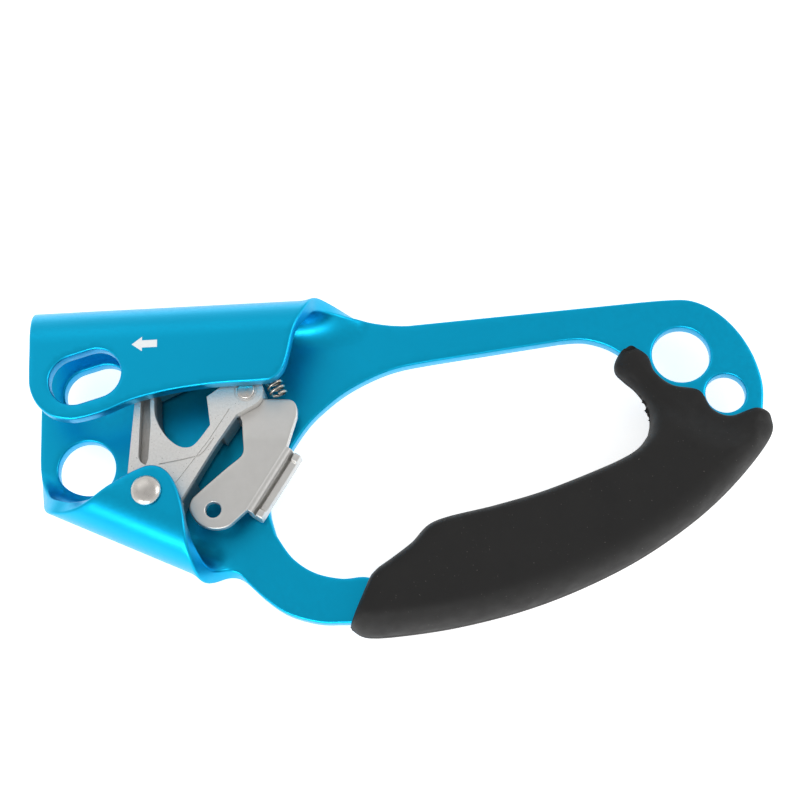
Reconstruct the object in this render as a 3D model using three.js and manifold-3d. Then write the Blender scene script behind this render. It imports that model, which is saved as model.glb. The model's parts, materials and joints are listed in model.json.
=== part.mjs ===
// Handled rope ascender: a frame folded from one aluminium sheet, a two-shell rubber grip,
// a sprung toothed cam on a rivet, and a sprung safety catch hinged to the cam.
//
// Drawing frame, in millimetres: the front of the flat plate is z = 0 and +Z points to the
// front of the ascender. +X runs down the rope, from the upper attachment holes to the lower
// ones, and +Y points from the grip to the rope channel. PLACEMENT carries the drawing frame
// to the part's own frame, whose origin is the centre of the base of its box.

import * as THREE from 'three';
import { mergeVertices } from 'three/addons/utils/BufferGeometryUtils.js';
import Module from 'manifold-3d';

const wasm = await Module();
wasm.setup();

// ---------------------------------------------------------------- driving dimensions

const SHEET = 4.0; // thickness of the folded aluminium sheet
const CHANNEL = 13.0; // clear gap between plate and flap: the thickest rope it takes
const PLAY = 0.3; // gap kept between two pieces that touch
const SHELL_DEPTH = 8.0; // how far the rear grip shell stands behind the plate
const RIVET_DOME = 1.7; // height of the pivot rivet's domed head

const MID = -SHEET / 2; // z of the plate's mid-surface
const FLAP_BACK = CHANNEL;
const FLAP_FRONT = CHANNEL + SHEET;
const FOLD_R = (CHANNEL + SHEET) / 2; // bend radius of the mid-surface
const FOLD_LENGTH = Math.PI * FOLD_R; // sheet used up by a half turn
const FOLD_STEPS = 6;

const CHANNEL_FOLD_Y = 25.1; // where the rope channel's fold starts
const PIVOT_FOLD_AT = new THREE.Vector2(-75.96, -8.09); // a point on the pivot flap's fold line
const PIVOT_FOLD_TURN = THREE.MathUtils.degToRad(-25); // that line's slope

const PIVOT = new THREE.Vector2(-54.8, -15.1); // axis of the cam
const CATCH_PIVOT = new THREE.Vector2(-30.9, 10.9); // axis of the safety catch
const CAM_BACK = 1.0;
const CAM_FRONT = 12.0;
const CATCH_BACK = 6.5;
const CATCH_FRONT = 8.8;

const PLACEMENT = new THREE.Vector3(-7.48, 6.73, SHEET + SHELL_DEPTH);

const alongFold = new THREE.Vector2(Math.cos(PIVOT_FOLD_TURN), Math.sin(PIVOT_FOLD_TURN));
const acrossFold = new THREE.Vector2(alongFold.y, -alongFold.x);

// ---------------------------------------------------------------- materials

const blueAnodised = new THREE.MeshStandardMaterial({ color: 0x0793cf, roughness: 0.38, metalness: 0.7 });
const blackRubber = new THREE.MeshStandardMaterial({ color: 0x262626, roughness: 0.8, metalness: 0 });
const castSteel = new THREE.MeshStandardMaterial({ color: 0xb3b1ad, roughness: 0.55, metalness: 0.9 });
const stampedSteel = new THREE.MeshStandardMaterial({ color: 0xc9c7c3, roughness: 0.35, metalness: 0.9 });
const polishedSteel = new THREE.MeshStandardMaterial({ color: 0xb9b3aa, roughness: 0.2, metalness: 1 });
const springSteel = new THREE.MeshStandardMaterial({ color: 0x8f8880, roughness: 0.3, metalness: 1 });
const washerPolymer = new THREE.MeshStandardMaterial({ color: 0xd8d5cc, roughness: 0.6, metalness: 0 });

// ---------------------------------------------------------------- helpers

function vectors(list) {
  return list.map(([x, y]) => new THREE.Vector2(x, y));
}

function merged(geometry) {
  geometry.deleteAttribute('normal');
  geometry.deleteAttribute('uv');
  return mergeVertices(geometry, 1e-4);
}

function toSolid(geometry) {
  const clean = merged(geometry);
  return new wasm.Manifold(new wasm.Mesh({
    numProp: 3,
    vertProperties: new Float32Array(clean.attributes.position.array),
    triVerts: new Uint32Array(clean.index.array),
  }));
}

function toGeometry(solid) {
  const mesh = solid.getMesh();
  const geometry = new THREE.BufferGeometry();
  geometry.setAttribute('position', new THREE.BufferAttribute(new Float32Array(mesh.vertProperties), 3));
  geometry.setIndex(new THREE.BufferAttribute(new Uint32Array(mesh.triVerts), 1));
  return geometry;
}

function meshFromTriangles(points, triangles) {
  const geometry = new THREE.BufferGeometry();
  const places = points.flatMap((p) => [p.x, p.y, p.z]);
  geometry.setAttribute('position', new THREE.Float32BufferAttribute(places, 3));
  geometry.setIndex(triangles.flat());
  return geometry;
}

// A flat outline pulled from zLow to zHigh.
function slab(shape, zLow, zHigh, steps = 6) {
  const geometry = new THREE.ExtrudeGeometry(shape, {
    depth: zHigh - zLow,
    bevelEnabled: false,
    curveSegments: steps,
  });
  geometry.translate(0, 0, zLow);
  return geometry;
}

// A cylinder along Z about a centre in the plane.
function disc(centre, radius, zLow, zHigh, sides = 24) {
  const geometry = new THREE.CylinderGeometry(radius, radius, zHigh - zLow, sides);
  geometry.rotateX(Math.PI / 2);
  geometry.translate(centre.x, centre.y, (zLow + zHigh) / 2);
  return geometry;
}

// A profile of [radius, height] pairs turned about Z through a centre in the plane.
function turned(profile, centre, sides = 24) {
  const geometry = new THREE.LatheGeometry(vectors(profile), sides);
  geometry.rotateX(Math.PI / 2);
  geometry.translate(centre.x, centre.y, 0);
  return geometry;
}

// A round wire along a curve.
function wire(curve, radius, steps, sides = 8) {
  const section = new THREE.Shape();
  section.absarc(0, 0, radius, 0, 2 * Math.PI, false);
  return new THREE.ExtrudeGeometry(section, {
    steps,
    curveSegments: sides / 2,
    extrudePath: curve,
    bevelEnabled: false,
  });
}

// Points round a hole whose two round ends stand halfLength either side of its centre.
function slotPoints(centre, halfLength, radius, turn, sides = 18) {
  return Array.from({ length: sides }, (_, i) => {
    const angle = ((i + 0.5) / sides) * 2 * Math.PI;
    const along = Math.cos(angle) * radius + Math.sign(Math.cos(angle)) * halfLength;
    const across = Math.sin(angle) * radius;
    return new THREE.Vector2(along, across).rotateAround(new THREE.Vector2(), turn).add(centre);
  });
}

function roundPath(centre, radius) {
  return new THREE.Path(slotPoints(centre, 0, radius, 0));
}

// ---------------------------------------------------------------- frame: flat pattern

// A point of the pivot flap in the flat pattern, from its place along and across the fold.
function onPivotFlap([along, across]) {
  return PIVOT_FOLD_AT.clone().addScaledVector(alongFold, along).addScaledVector(acrossFold, across);
}

function flapTurnedOut(point) {
  const flapMirror = 2 * CHANNEL_FOLD_Y + FOLD_LENGTH;
  return [point[0], flapMirror - point[1]];
}

// The channel flap's free edge, as it lies when folded over the plate.
const CHANNEL_FLAP_EDGE = [
  [-85.2, 27], [-85.0, 17.3], [-84.6, 12.6], [-82.6, 8.4], [-79.2, 5.4], [-75.6, 4.3], [-72.3, 4.2],
  [-66.2, 5.6], [-58.5, 8.5], [-49, 10.5], [-38, 11.6], [-27.5, 11.8], [-23.8, 12.2], [-21.2, 14.4],
  [-19.8, 18], [-18.2, 24.6], [-16.2, 28.9],
];
// Where the channel runs out into the handle, in the flat pattern.
const CHANNEL_RUN_OUT = [[-14.6, 45], [-13, 41], [-10.6, 37.6], [-6.4, 34.6], [-0.9, 32.2], [5, 30.9]];
const HANDLE_END = [
  [76.9, 33.9], [82.1, 33.7], [86.1, 32.3], [89.7, 29.9], [93, 26.5], [95.8, 22.3], [98, 17.3], [99.3, 11.9],
  [99.5, 7.8], [98.9, 3],
];
// The outer edge under the grip and on to the lower ring.
const UNDER_GRIP_OUTER = [
  [97, -3.2], [88.4, -14.2], [78, -23], [65, -31], [50, -37.8], [35.4, -42.6], [20, -46], [6, -47.4],
  [-3, -46.8],
];
const RING_OUTER = [[-9, -46.7], [-15, -46.3], [-22.2, -44], [-27.7, -40.2], [-33.2, -34.9]];
// The pivot flap: places along and across its fold, from the ring round to the left edge.
const PIVOT_FLAP_EDGE = [
  [47.6, 5.9], [45.5, 7], [43.8, 9.6], [42.2, 13], [40.2, 16.6], [38, 20], [35, 24.6], [31.8, 29.2],
  [28.4, 33.1], [24.4, 35.8], [20.3, 35.7], [16.6, 32.4], [12.2, 26.4], [8.4, 21.4], [3.5, 17.2],
  [-0.6, 14.4], [-3.4, 11.2], [-6, 7.4],
];
const LEFT_EDGE = [[-85.5, -7], [-85.9, -1]];

const WINDOW_HANDLE = [
  [-26.7, -17.3], [-26, -11], [-22.6, -4], [-17, 4.4], [-11.5, 9.7], [-5.7, 13.8], [1.4, 17.2], [7.7, 19.1],
  [15.8, 20.3],
];
const WINDOW_TIP = [[55, 24.1], [60.4, 22.4], [64.2, 20]];
const WINDOW_UNDER_GRIP = [
  [65.7, 17.6], [66.8, 14.6], [69.4, 11.4], [71.8, 7], [72.6, 2.4], [72, -1.8], [69.2, -6.6], [63.4, -10.6],
  [55.4, -14], [42.6, -18.5], [30.6, -21.5], [16.6, -24.8], [10.8, -29.8], [5.4, -34.6], [0.6, -36.1],
];
const WINDOW_RING = [[-3.6, -35.2], [-9, -35.4], [-15.7, -33.6], [-21.2, -29.6], [-25.2, -23.6]];

const UPPER_HOLE = { centre: new THREE.Vector2(-73.68, -4.21), radius: 7.4 };
const CARABINER_HOLE = { centre: new THREE.Vector2(79.61, 18.77), radius: 7.4 };
const CORD_HOLE = { centre: new THREE.Vector2(90.01, 7.89), radius: 5.1 };
const SLOT_TURN = THREE.MathUtils.degToRad(15.7);
const FLAP_SLOT = { centre: new THREE.Vector2(-70.72, 15.12), half: 2.8, radius: 6.4, turn: SLOT_TURN };
const PLATE_SLOT = { centre: new THREE.Vector2(-71.43, 16.81), half: 2.2, radius: 6.4, turn: SLOT_TURN };
const RIVET_HOLE_R = 2.5;

function flatPattern() {
  const outline = new THREE.Shape();
  outline.moveTo(-85.9, -1);
  outline.lineTo(-86.2, CHANNEL_FOLD_Y);
  outline.lineTo(-86.2, 38);
  outline.splineThru(vectors(CHANNEL_FLAP_EDGE.map(flapTurnedOut)));
  outline.splineThru(vectors([...CHANNEL_RUN_OUT, [9.6, 30.5]]));
  outline.lineTo(70.5, 33.7);
  outline.splineThru(vectors(HANDLE_END));
  outline.splineThru(vectors(UNDER_GRIP_OUTER));
  outline.splineThru([...vectors(RING_OUTER), ...PIVOT_FLAP_EDGE.map(onPivotFlap), ...vectors(LEFT_EDGE)]);

  const window = new THREE.Path();
  window.moveTo(-25.2, -23.6);
  window.splineThru(vectors(WINDOW_HANDLE));
  window.lineTo(49.1, 24.1);
  window.splineThru(vectors(WINDOW_TIP));
  window.splineThru(vectors(WINDOW_UNDER_GRIP));
  window.splineThru(vectors(WINDOW_RING));

  const flapSlotAt = new THREE.Vector2(...flapTurnedOut(FLAP_SLOT.centre.toArray()));
  const flapRivet = PIVOT.clone().addScaledVector(acrossFold, FOLD_LENGTH - 2 * foldAcross(PIVOT));
  outline.holes = [
    window,
    roundPath(UPPER_HOLE.centre, UPPER_HOLE.radius),
    roundPath(CARABINER_HOLE.centre, CARABINER_HOLE.radius),
    roundPath(CORD_HOLE.centre, CORD_HOLE.radius),
    new THREE.Path(slotPoints(flapSlotAt, FLAP_SLOT.half, FLAP_SLOT.radius, -FLAP_SLOT.turn)),
    new THREE.Path(slotPoints(PLATE_SLOT.centre, PLATE_SLOT.half, PLATE_SLOT.radius, PLATE_SLOT.turn)),
    roundPath(PIVOT, RIVET_HOLE_R),
    roundPath(flapRivet, RIVET_HOLE_R),
  ];
  return outline;
}

// ---------------------------------------------------------------- frame: folding

const UP = new THREE.Vector2(0, 1);
const RIGHT = new THREE.Vector2(1, 0);
const CHANNEL_OPENS_FROM = -17; // x where the closed channel starts to open out
const CHANNEL_OPENS_TO = -1; // x where the sheet is flat again
const PIVOT_OPENS_FROM = 38; // the same for the pivot flap, along its fold
const PIVOT_OPENS_TO = 51;
const PIVOT_FOLD_ENDS_X = -25; // the sheet is flat past here
const RUN_OUT_STEPS = 4;

function foldAcross(point) {
  return point.clone().sub(PIVOT_FOLD_AT).dot(acrossFold);
}

// How completely the channel is closed at x: 1 along the rope, falling to 0 in the handle.
function channelClosure(x) {
  return 1 - THREE.MathUtils.smoothstep(x, CHANNEL_OPENS_FROM, CHANNEL_OPENS_TO);
}

// The same for the pivot flap, along its own fold.
function pivotClosure(along) {
  return 1 - THREE.MathUtils.smoothstep(along, PIVOT_OPENS_FROM, PIVOT_OPENS_TO);
}

// Bends a strip that starts flat: how far it reaches and rises after a length of sheet. A
// half-closed fold turns less far, on a wider bend.
function bend(length, closure, offset) {
  const closed = Math.max(closure, 1e-6);
  const radius = FOLD_R / Math.sqrt(closed);
  const bent = Math.min(length, closed * Math.PI * radius);
  const angle = bent / radius;
  const straight = length - bent;
  return {
    reach: radius * Math.sin(angle) + straight * Math.cos(angle) - offset * Math.sin(angle),
    rise: radius * (1 - Math.cos(angle)) + straight * Math.sin(angle) + offset * Math.cos(angle),
  };
}

// Carries a point of the flat pattern, offset from the mid-surface, to its folded place.
function fold(point, offset) {
  const channelLength = point.y - CHANNEL_FOLD_Y;
  if (channelLength > 0) {
    const bent = bend(channelLength, channelClosure(point.x), offset);
    return new THREE.Vector3(point.x, CHANNEL_FOLD_Y + bent.reach, MID + bent.rise);
  }
  const across = foldAcross(point);
  if (across > 0 && point.x < PIVOT_FOLD_ENDS_X) {
    const along = point.clone().sub(PIVOT_FOLD_AT).dot(alongFold);
    const bent = bend(across, pivotClosure(along), offset);
    const flat = onPivotFlap([along, bent.reach]);
    return new THREE.Vector3(flat.x, flat.y, MID + bent.rise);
  }
  return new THREE.Vector3(point.x, point.y, MID + offset);
}

// Splits the triangles that a line crosses, where it crosses them inside a zone.
function splitAlongLine(points, triangles, onLine, normal, inZone) {
  const side = points.map((p) => {
    const distance = p.clone().sub(onLine).dot(normal);
    return Math.abs(distance) < 1e-3 ? 0 : distance;
  });
  const cuts = new Map();
  const cutBetween = (a, b) => {
    const key = a < b ? `${a},${b}` : `${b},${a}`;
    if (!cuts.has(key)) {
      const at = points[a].clone().lerp(points[b], side[a] / (side[a] - side[b]));
      cuts.set(key, inZone(at) ? points.push(at) - 1 : null);
      if (inZone(at)) side.push(0);
    }
    return cuts.get(key);
  };
  return triangles.flatMap((corners) => {
    const ring = [];
    corners.forEach((a, i) => {
      const b = corners[(i + 1) % 3];
      const cut = side[a] * side[b] < 0 ? cutBetween(a, b) : null;
      ring.push(a);
      if (cut !== null) ring.push(cut);
    });
    if (ring.length === 3) return [ring];
    const isCut = (i) => !corners.includes(ring[i % ring.length]);
    const start = ring.findIndex((_, i) => isCut(i) && (ring.length === 4 || isCut(i + 2)));
    const [a, b, c, d, e] = ring.map((_, i) => ring[(start + i) % ring.length]);
    const fan = [[a, b, c], [a, c, d]];
    return ring.length === 4 ? fan : [...fan, [a, d, e]];
  });
}

function flatTriangles() {
  const { shape, holes } = flatPattern().extractPoints(1);
  const tidy = (loop) => loop.filter((p, i) => p.distanceTo(loop[(i + 1) % loop.length]) > 0.02);
  const outer = tidy(shape);
  const inner = holes.map(tidy);
  const points = [outer, ...inner].flat();
  const triangles = THREE.ShapeUtils.triangulateShape(outer, inner).map(([a, b, c]) => {
    const area = points[b].clone().sub(points[a]).cross(points[c].clone().sub(points[a]));
    return area > 0 ? [a, b, c] : [a, c, b];
  });
  return { points, triangles };
}

function frameGeometry() {
  const { points, triangles } = flatTriangles();
  const inChannel = (p) => p.x < CHANNEL_OPENS_TO + 1 && p.y > CHANNEL_FOLD_Y - 0.01;
  const inPivotFold = (p) => foldAcross(p) > -0.01 && p.x < PIVOT_FOLD_ENDS_X;
  let cells = triangles;
  for (let i = 0; i <= FOLD_STEPS; i += 1) {
    const run = (i / FOLD_STEPS) * FOLD_LENGTH;
    cells = splitAlongLine(points, cells, new THREE.Vector2(0, CHANNEL_FOLD_Y + run), UP, inChannel);
    cells = splitAlongLine(points, cells, onPivotFlap([0, run]), acrossFold, inPivotFold);
  }
  for (let i = 0; i <= RUN_OUT_STEPS; i += 1) {
    const x = THREE.MathUtils.lerp(CHANNEL_OPENS_FROM, CHANNEL_OPENS_TO, i / RUN_OUT_STEPS);
    const along = THREE.MathUtils.lerp(PIVOT_OPENS_FROM, PIVOT_OPENS_TO, i / RUN_OUT_STEPS);
    cells = splitAlongLine(points, cells, new THREE.Vector2(x, 0), RIGHT, inChannel);
    cells = splitAlongLine(points, cells, onPivotFlap([along, 0]), alongFold, inPivotFold);
  }

  const count = points.length;
  const folded = [SHEET / 2, -SHEET / 2].flatMap((offset) => points.map((p) => fold(p, offset)));
  const faces = [];
  const edges = new Map();
  for (const [a, b, c] of cells) {
    faces.push([a, b, c], [a + count, c + count, b + count]);
    for (const [from, to] of [[a, b], [b, c], [c, a]]) edges.set(`${from},${to}`, [from, to]);
  }
  for (const [from, to] of edges.values()) {
    if (edges.has(`${to},${from}`)) continue;
    faces.push([from, from + count, to + count], [from, to + count, to]);
  }
  return meshFromTriangles(folded, faces);
}

// ---------------------------------------------------------------- grip shells

const GRIP_WALL = 1.5; // rubber skirt that laps over the edge of the sheet
const GRIP_FRONT_CROWN = 9.0;

// The grip's two long sides, walked from its upper end round to its hooked lower end. The
// outer side leaves the sheet's edge at the heel and then runs round the two lower holes.
const GRIP_INNER = [
  [-0.9, -34.2], [3.4, -32.6], [8.6, -27.7], [14.8, -22.4], [29.8, -19.1], [41.8, -16.1], [54.8, -11.6],
  [62.5, -8.4], [66.6, -5.8], [69.2, -2.6], [69.9, -0.8], [70.3, 0.8], [70.4, 2.6], [70.2, 4.4], [69.4, 7],
  [67.2, 10.4], [64.4, 13.2], [62.3, 15.6], [63.2, 18.4],
];
const GRIP_OUTER = [
  [-7.1, -47.9], [-3.3, -50.1], [6, -50], [20, -48.4], [36, -45], [51, -40], [66, -33.1], [80, -24.2],
  [91, -14.8], [100, -4.4], [100.8, 0.8], [97.2, 3.3], [90.4, 1.5], [86, 3.6], [83.2, 8.6], [76.6, 10.4],
  [72.5, 14], [71, 18.4], [68.2, 20.8],
];
const LAP_FROM = 0.03; // the outer side laps over the sheet's edge from here
const HEEL_AT = 9.6 / 18; // to here, where it turns in across the sheet
const GRIP_STEPS = 54;

// Height of the crown along the grip: low at both ends.
function crownScale(t) {
  const rise = Math.min(1, Math.min(t, 1 - t) / 0.08);
  return 0.55 + 0.45 * Math.sin((rise * Math.PI) / 2);
}

// One rubber half: a crowned strip from seam to crown with a pocket for the sheet.
function gripShell(seam, pocket, crown) {
  const inner = new THREE.SplineCurve(vectors(GRIP_INNER));
  const outer = new THREE.SplineCurve(vectors(GRIP_OUTER));
  const across = [0, 0.06, 0.2, 0.5, 0.8, 0.94, 1];
  const points = [];
  for (let i = 0; i <= GRIP_STEPS; i += 1) {
    const t = i / GRIP_STEPS;
    const a = inner.getPoint(t);
    const b = outer.getPoint(t);
    const wall = Math.min(0.25, GRIP_WALL / a.distanceTo(b));
    const top = pocket + (crown - pocket) * crownScale(t);
    for (const u of across) {
      const swell = (1 - Math.abs(2 * u - 1) ** 3) ** 0.5;
      const at = a.clone().lerp(b, u);
      points.push(new THREE.Vector3(at.x, at.y, THREE.MathUtils.lerp(seam, top, swell)));
    }
    const lapped = t > LAP_FROM && t < HEEL_AT;
    const skirtFoot = lapped ? seam : pocket - 0.02 * Math.sign(crown);
    for (const [u, z] of [[1 - wall, skirtFoot], [1 - wall, pocket], [wall, pocket], [wall, seam]]) {
      const at = a.clone().lerp(b, u);
      points.push(new THREE.Vector3(at.x, at.y, z));
    }
    points[points.length - 5].z = skirtFoot;
  }
  return loft(points, across.length + 4, GRIP_STEPS, crown < 0);
}

// Skins rings of equal length into one closed body.
function loft(points, ring, steps, flip) {
  const faces = [];
  for (let i = 0; i < steps; i += 1) {
    for (let j = 0; j < ring; j += 1) {
      const a = i * ring + j;
      const b = i * ring + ((j + 1) % ring);
      faces.push([a, b, b + ring], [a, b + ring, a + ring]);
    }
  }
  const first = points.slice(0, ring);
  const last = points.slice(-ring);
  faces.push(...capFaces(first, 0, false), ...capFaces(last, steps * ring, true));
  return meshFromTriangles(points, flip ? faces.map(([a, b, c]) => [a, c, b]) : faces);
}

// Closes one end ring, worked out in the plane of its chord and Z.
function capFaces(ring, start, far) {
  const flat = ring.map((p) => new THREE.Vector2(Math.hypot(p.x - ring[0].x, p.y - ring[0].y), p.z));
  const faces = THREE.ShapeUtils.triangulateShape(flat, []).map(([a, b, c]) => {
    const area = flat[b].clone().sub(flat[a]).cross(flat[c].clone().sub(flat[a]));
    return area > 0 ? [a, b, c] : [a, c, b];
  });
  const clockwise = THREE.ShapeUtils.area(flat) < 0;
  const flipped = far === clockwise;
  return faces.map(([a, b, c]) => (flipped ? [a, c, b] : [a, b, c]).map((i) => i + start));
}

function gripFront() {
  return gripShell(MID + PLAY / 2, PLAY, GRIP_FRONT_CROWN);
}

function gripRear() {
  return gripShell(MID - PLAY / 2, -SHEET - PLAY, -SHEET - SHELL_DEPTH);
}

// ---------------------------------------------------------------- cam

const CAM_BORE_R = 3.3;
const CAM_BOSS_R = 5.6; // at the cam's faces, clear of the fold's round inside
const CAM_HUB_R = 8.0; // at mid height, where the fold leaves more room
const CATCH_BOSS_R = 4.3;
const SPRING_POCKET_R = 4.9;
const FACE_SHOULDER = 2.9; // how far the cam's flanks stand below the tooth tips
const RIB_BACK = 4.0;
const RIB_FRONT = 9.0;
const TOOTH_HEIGHT = 1.0;
const TOOTH_COUNT = 14;
const FACE_RADIUS = 57.0; // distance of the toothed face from the pivot at FACE_FROM
const FACE_FROM = THREE.MathUtils.degToRad(53.5);
const FACE_START = THREE.MathUtils.degToRad(52.3);
const FACE_END = THREE.MathUtils.degToRad(95.5);
const FACE_SPIRAL = 0.74; // how fast the face comes nearer the pivot: what makes the cam jam

function facePoint(angle, height) {
  const radius = FACE_RADIUS * Math.exp(-FACE_SPIRAL * (angle - FACE_FROM)) - height;
  return new THREE.Vector2(PIVOT.x + radius * Math.cos(angle), PIVOT.y + radius * Math.sin(angle));
}

function camOutline() {
  const outline = new THREE.Shape();
  outline.moveTo(-20.8, 26.6);
  for (let i = 0; i <= TOOTH_COUNT; i += 2) {
    const angle = THREE.MathUtils.lerp(FACE_START, FACE_END, i / TOOTH_COUNT);
    const shoulder = facePoint(angle, FACE_SHOULDER);
    outline.lineTo(shoulder.x, shoulder.y);
  }
  outline.lineTo(-59, 9.1);
  outline.lineTo(-60.5, -8.9);
  outline.absarc(PIVOT.x, PIVOT.y, CAM_BOSS_R, Math.PI * 0.95, Math.PI * 1.8, false);
  outline.lineTo(-47.2, -16.5);
  outline.lineTo(-39, -3.4);
  outline.lineTo(-33.4, 4.7);
  outline.absarc(CATCH_PIVOT.x, CATCH_PIVOT.y, CATCH_BOSS_R, Math.PI * 1.6, Math.PI * 2.25, false);
  outline.lineTo(-30.6, 17.6);
  outline.lineTo(-31.6, 21.3);
  outline.lineTo(-24.4, 24.3);
  outline.closePath();
  return outline;
}

// The toothed rib along the middle of the face, narrow enough to enter the round channel.
function toothedRib() {
  const rib = new THREE.Shape();
  const step = (FACE_END - FACE_START) / TOOTH_COUNT;
  const heel = facePoint(FACE_START, FACE_SHOULDER + 1);
  rib.moveTo(heel.x, heel.y);
  for (let i = 0; i < TOOTH_COUNT; i += 1) {
    const root = facePoint(FACE_START + i * step, TOOTH_HEIGHT);
    const tip = facePoint(FACE_START + (i + 0.75) * step, 0);
    rib.lineTo(root.x, root.y);
    rib.lineTo(tip.x, tip.y);
  }
  const toe = facePoint(FACE_END, TOOTH_HEIGHT);
  const toeFoot = facePoint(FACE_END, FACE_SHOULDER + 3);
  const underside = facePoint((FACE_START + FACE_END) / 2, FACE_SHOULDER + 3);
  rib.lineTo(toe.x, toe.y);
  rib.lineTo(toeFoot.x, toeFoot.y);
  rib.lineTo(underside.x, underside.y);
  rib.closePath();
  return slab(rib, RIB_BACK, RIB_FRONT);
}

function camWindow() {
  const window = new THREE.Shape();
  window.moveTo(-54.1, 12.5);
  window.splineThru(vectors([
    [-54.1, 9.5], [-53.7, 5], [-51.4, 0.5], [-48.4, -2.4], [-45.7, -3.2], [-43.4, -2.1], [-39.9, 2.4],
  ]));
  window.lineTo(-40.8, 9.8);
  window.lineTo(-37, 12.4);
  window.lineTo(-38.5, 19.5);
  window.closePath();
  return window;
}

function mudGroove() {
  const groove = new THREE.Shape();
  groove.moveTo(-57.2, 19);
  groove.lineTo(-57.9, -4.6);
  groove.quadraticCurveTo(-57.8, -6.6, -56, -7.2);
  groove.lineTo(-55.4, -5.6);
  groove.lineTo(-54.9, 3);
  groove.lineTo(-55.3, 19);
  groove.closePath();
  return groove;
}

// The relief behind the cam that lets the return spring's fixed leg sweep.
function springRelief() {
  const relief = new THREE.Shape();
  relief.absarc(PIVOT.x, PIVOT.y, CAM_HUB_R + 1, Math.PI * 1.12, Math.PI * 1.66, false);
  relief.lineTo(PIVOT.x, PIVOT.y);
  relief.closePath();
  return relief;
}

// The pivot boss, barrelled to sit inside the round fold.
function camHub() {
  return turned([
    [0, 2], [CAM_HUB_R - 1.4, 2], [CAM_HUB_R, 3.6], [CAM_HUB_R, 9.4], [CAM_HUB_R - 1.4, 11], [0, 11],
  ], PIVOT);
}

function camSolid() {
  const notch = vectors([[-41.5, -7.3], [-37.2, -0.8], [-35, -2.2], [-39.4, -8.8]]);
  const cuts = [
    slab(camWindow(), CAM_BACK - 1, CAM_FRONT + 1),
    slab(mudGroove(), 8.6, CAM_FRONT + 1),
    slab(new THREE.Shape(notch), CAM_BACK - 1, 5.6),
    disc(PIVOT, CAM_BORE_R, CAM_BACK - 1, CAM_FRONT + 1),
    disc(PIVOT, SPRING_POCKET_R, CAM_BACK - 1, 4.6),
    slab(springRelief(), CAM_BACK - 1, 3.0),
    disc(CATCH_PIVOT, 6.6, CATCH_BACK - PLAY, CATCH_FRONT + PLAY),
    disc(CATCH_PIVOT, 1.8, CAM_BACK - 1, CAM_FRONT + 1),
  ];
  let solid = toSolid(slab(camOutline(), CAM_BACK, CAM_FRONT, 8));
  for (const piece of [camHub(), toothedRib()]) solid = solid.add(toSolid(piece));
  for (const cut of cuts) solid = solid.subtract(toSolid(cut));
  return toGeometry(solid);
}

// ---------------------------------------------------------------- safety catch

const CATCH_CORD_HOLE = { centre: new THREE.Vector2(-39.7, -18.6), radius: 1.95 };
const THUMB_TOP = new THREE.Vector2(-21.0, -3.4); // the bend line of the thumb flange
const THUMB_FOOT = new THREE.Vector2(-31.2, -19.0);

function catchOutline() {
  const outline = new THREE.Shape();
  outline.absarc(CATCH_PIVOT.x, CATCH_PIVOT.y, CATCH_BOSS_R, Math.PI * 1.9, Math.PI * 1.2, false);
  outline.lineTo(-32.4, 3.8);
  outline.lineTo(-32, -3.6);
  outline.splineThru(vectors([
    [-32.8, -5.4], [-36.5, -8.3], [-43.2, -13.9], [-45.2, -16], [-45.5, -18.6], [-43.8, -21.5], [-41, -23.1],
    [-38.2, -23.4], [-35.8, -22.8], [-33.8, -21.2], [-32.4, -20.0],
  ]));
  outline.lineTo(THUMB_FOOT.x, THUMB_FOOT.y);
  outline.lineTo(THUMB_TOP.x, THUMB_TOP.y);
  outline.lineTo(-18.5, 4.4);
  outline.quadraticCurveTo(-17.8, 9.2, -21.4, 9.2);
  outline.closePath();
  outline.holes = [
    roundPath(CATCH_CORD_HOLE.centre, CATCH_CORD_HOLE.radius),
    roundPath(CATCH_PIVOT, 1.8),
  ];
  return outline;
}

// The flange: the sheet rolled back behind the catch and up again, then sheared off.
function thumbFlange(legTop, fromEnd, length) {
  const section = new THREE.Shape();
  section.moveTo(-0.6, CATCH_FRONT);
  section.lineTo(0.2, CATCH_FRONT);
  section.quadraticCurveTo(1.6, CATCH_FRONT, 1.6, 6.8);
  section.lineTo(1.8, 3.6);
  section.lineTo(2.2, 3.6);
  section.lineTo(2.2, legTop);
  section.lineTo(3.9, legTop);
  section.lineTo(3.9, 3.2);
  section.quadraticCurveTo(3.7, 1, 2.0, 1);
  section.quadraticCurveTo(0.0, 1, -0.2, 3);
  section.lineTo(-0.3, CATCH_BACK);
  section.lineTo(-0.6, CATCH_BACK);
  section.closePath();
  const along = THUMB_FOOT.clone().sub(THUMB_TOP).normalize();
  const outward = new THREE.Vector2(-along.y, along.x);
  const start = THUMB_TOP.clone().addScaledVector(along, fromEnd);
  const geometry = new THREE.ExtrudeGeometry(section, {
    depth: length,
    bevelEnabled: false,
    curveSegments: 4,
  });
  geometry.applyMatrix4(new THREE.Matrix4().makeBasis(
    new THREE.Vector3(outward.x, outward.y, 0),
    new THREE.Vector3(0, 0, 1),
    new THREE.Vector3(along.x, along.y, 0),
  ).setPosition(start.x, start.y, 0));
  return geometry;
}

function catchSolid() {
  const bendLength = THUMB_TOP.distanceTo(THUMB_FOOT);
  const middle = thumbFlange(6.6, 0.4, bendLength - 0.8);
  const upperEnd = thumbFlange(7.6, 0, 2.3);
  const lowerEnd = thumbFlange(7.6, bendLength - 2.3, 2.3);
  const sheet = toSolid(slab(catchOutline(), CATCH_BACK, CATCH_FRONT, 6));
  return toGeometry([middle, upperEnd, lowerEnd].reduce((solid, piece) => solid.add(toSolid(piece)), sheet));
}

// ---------------------------------------------------------------- springs

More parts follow.
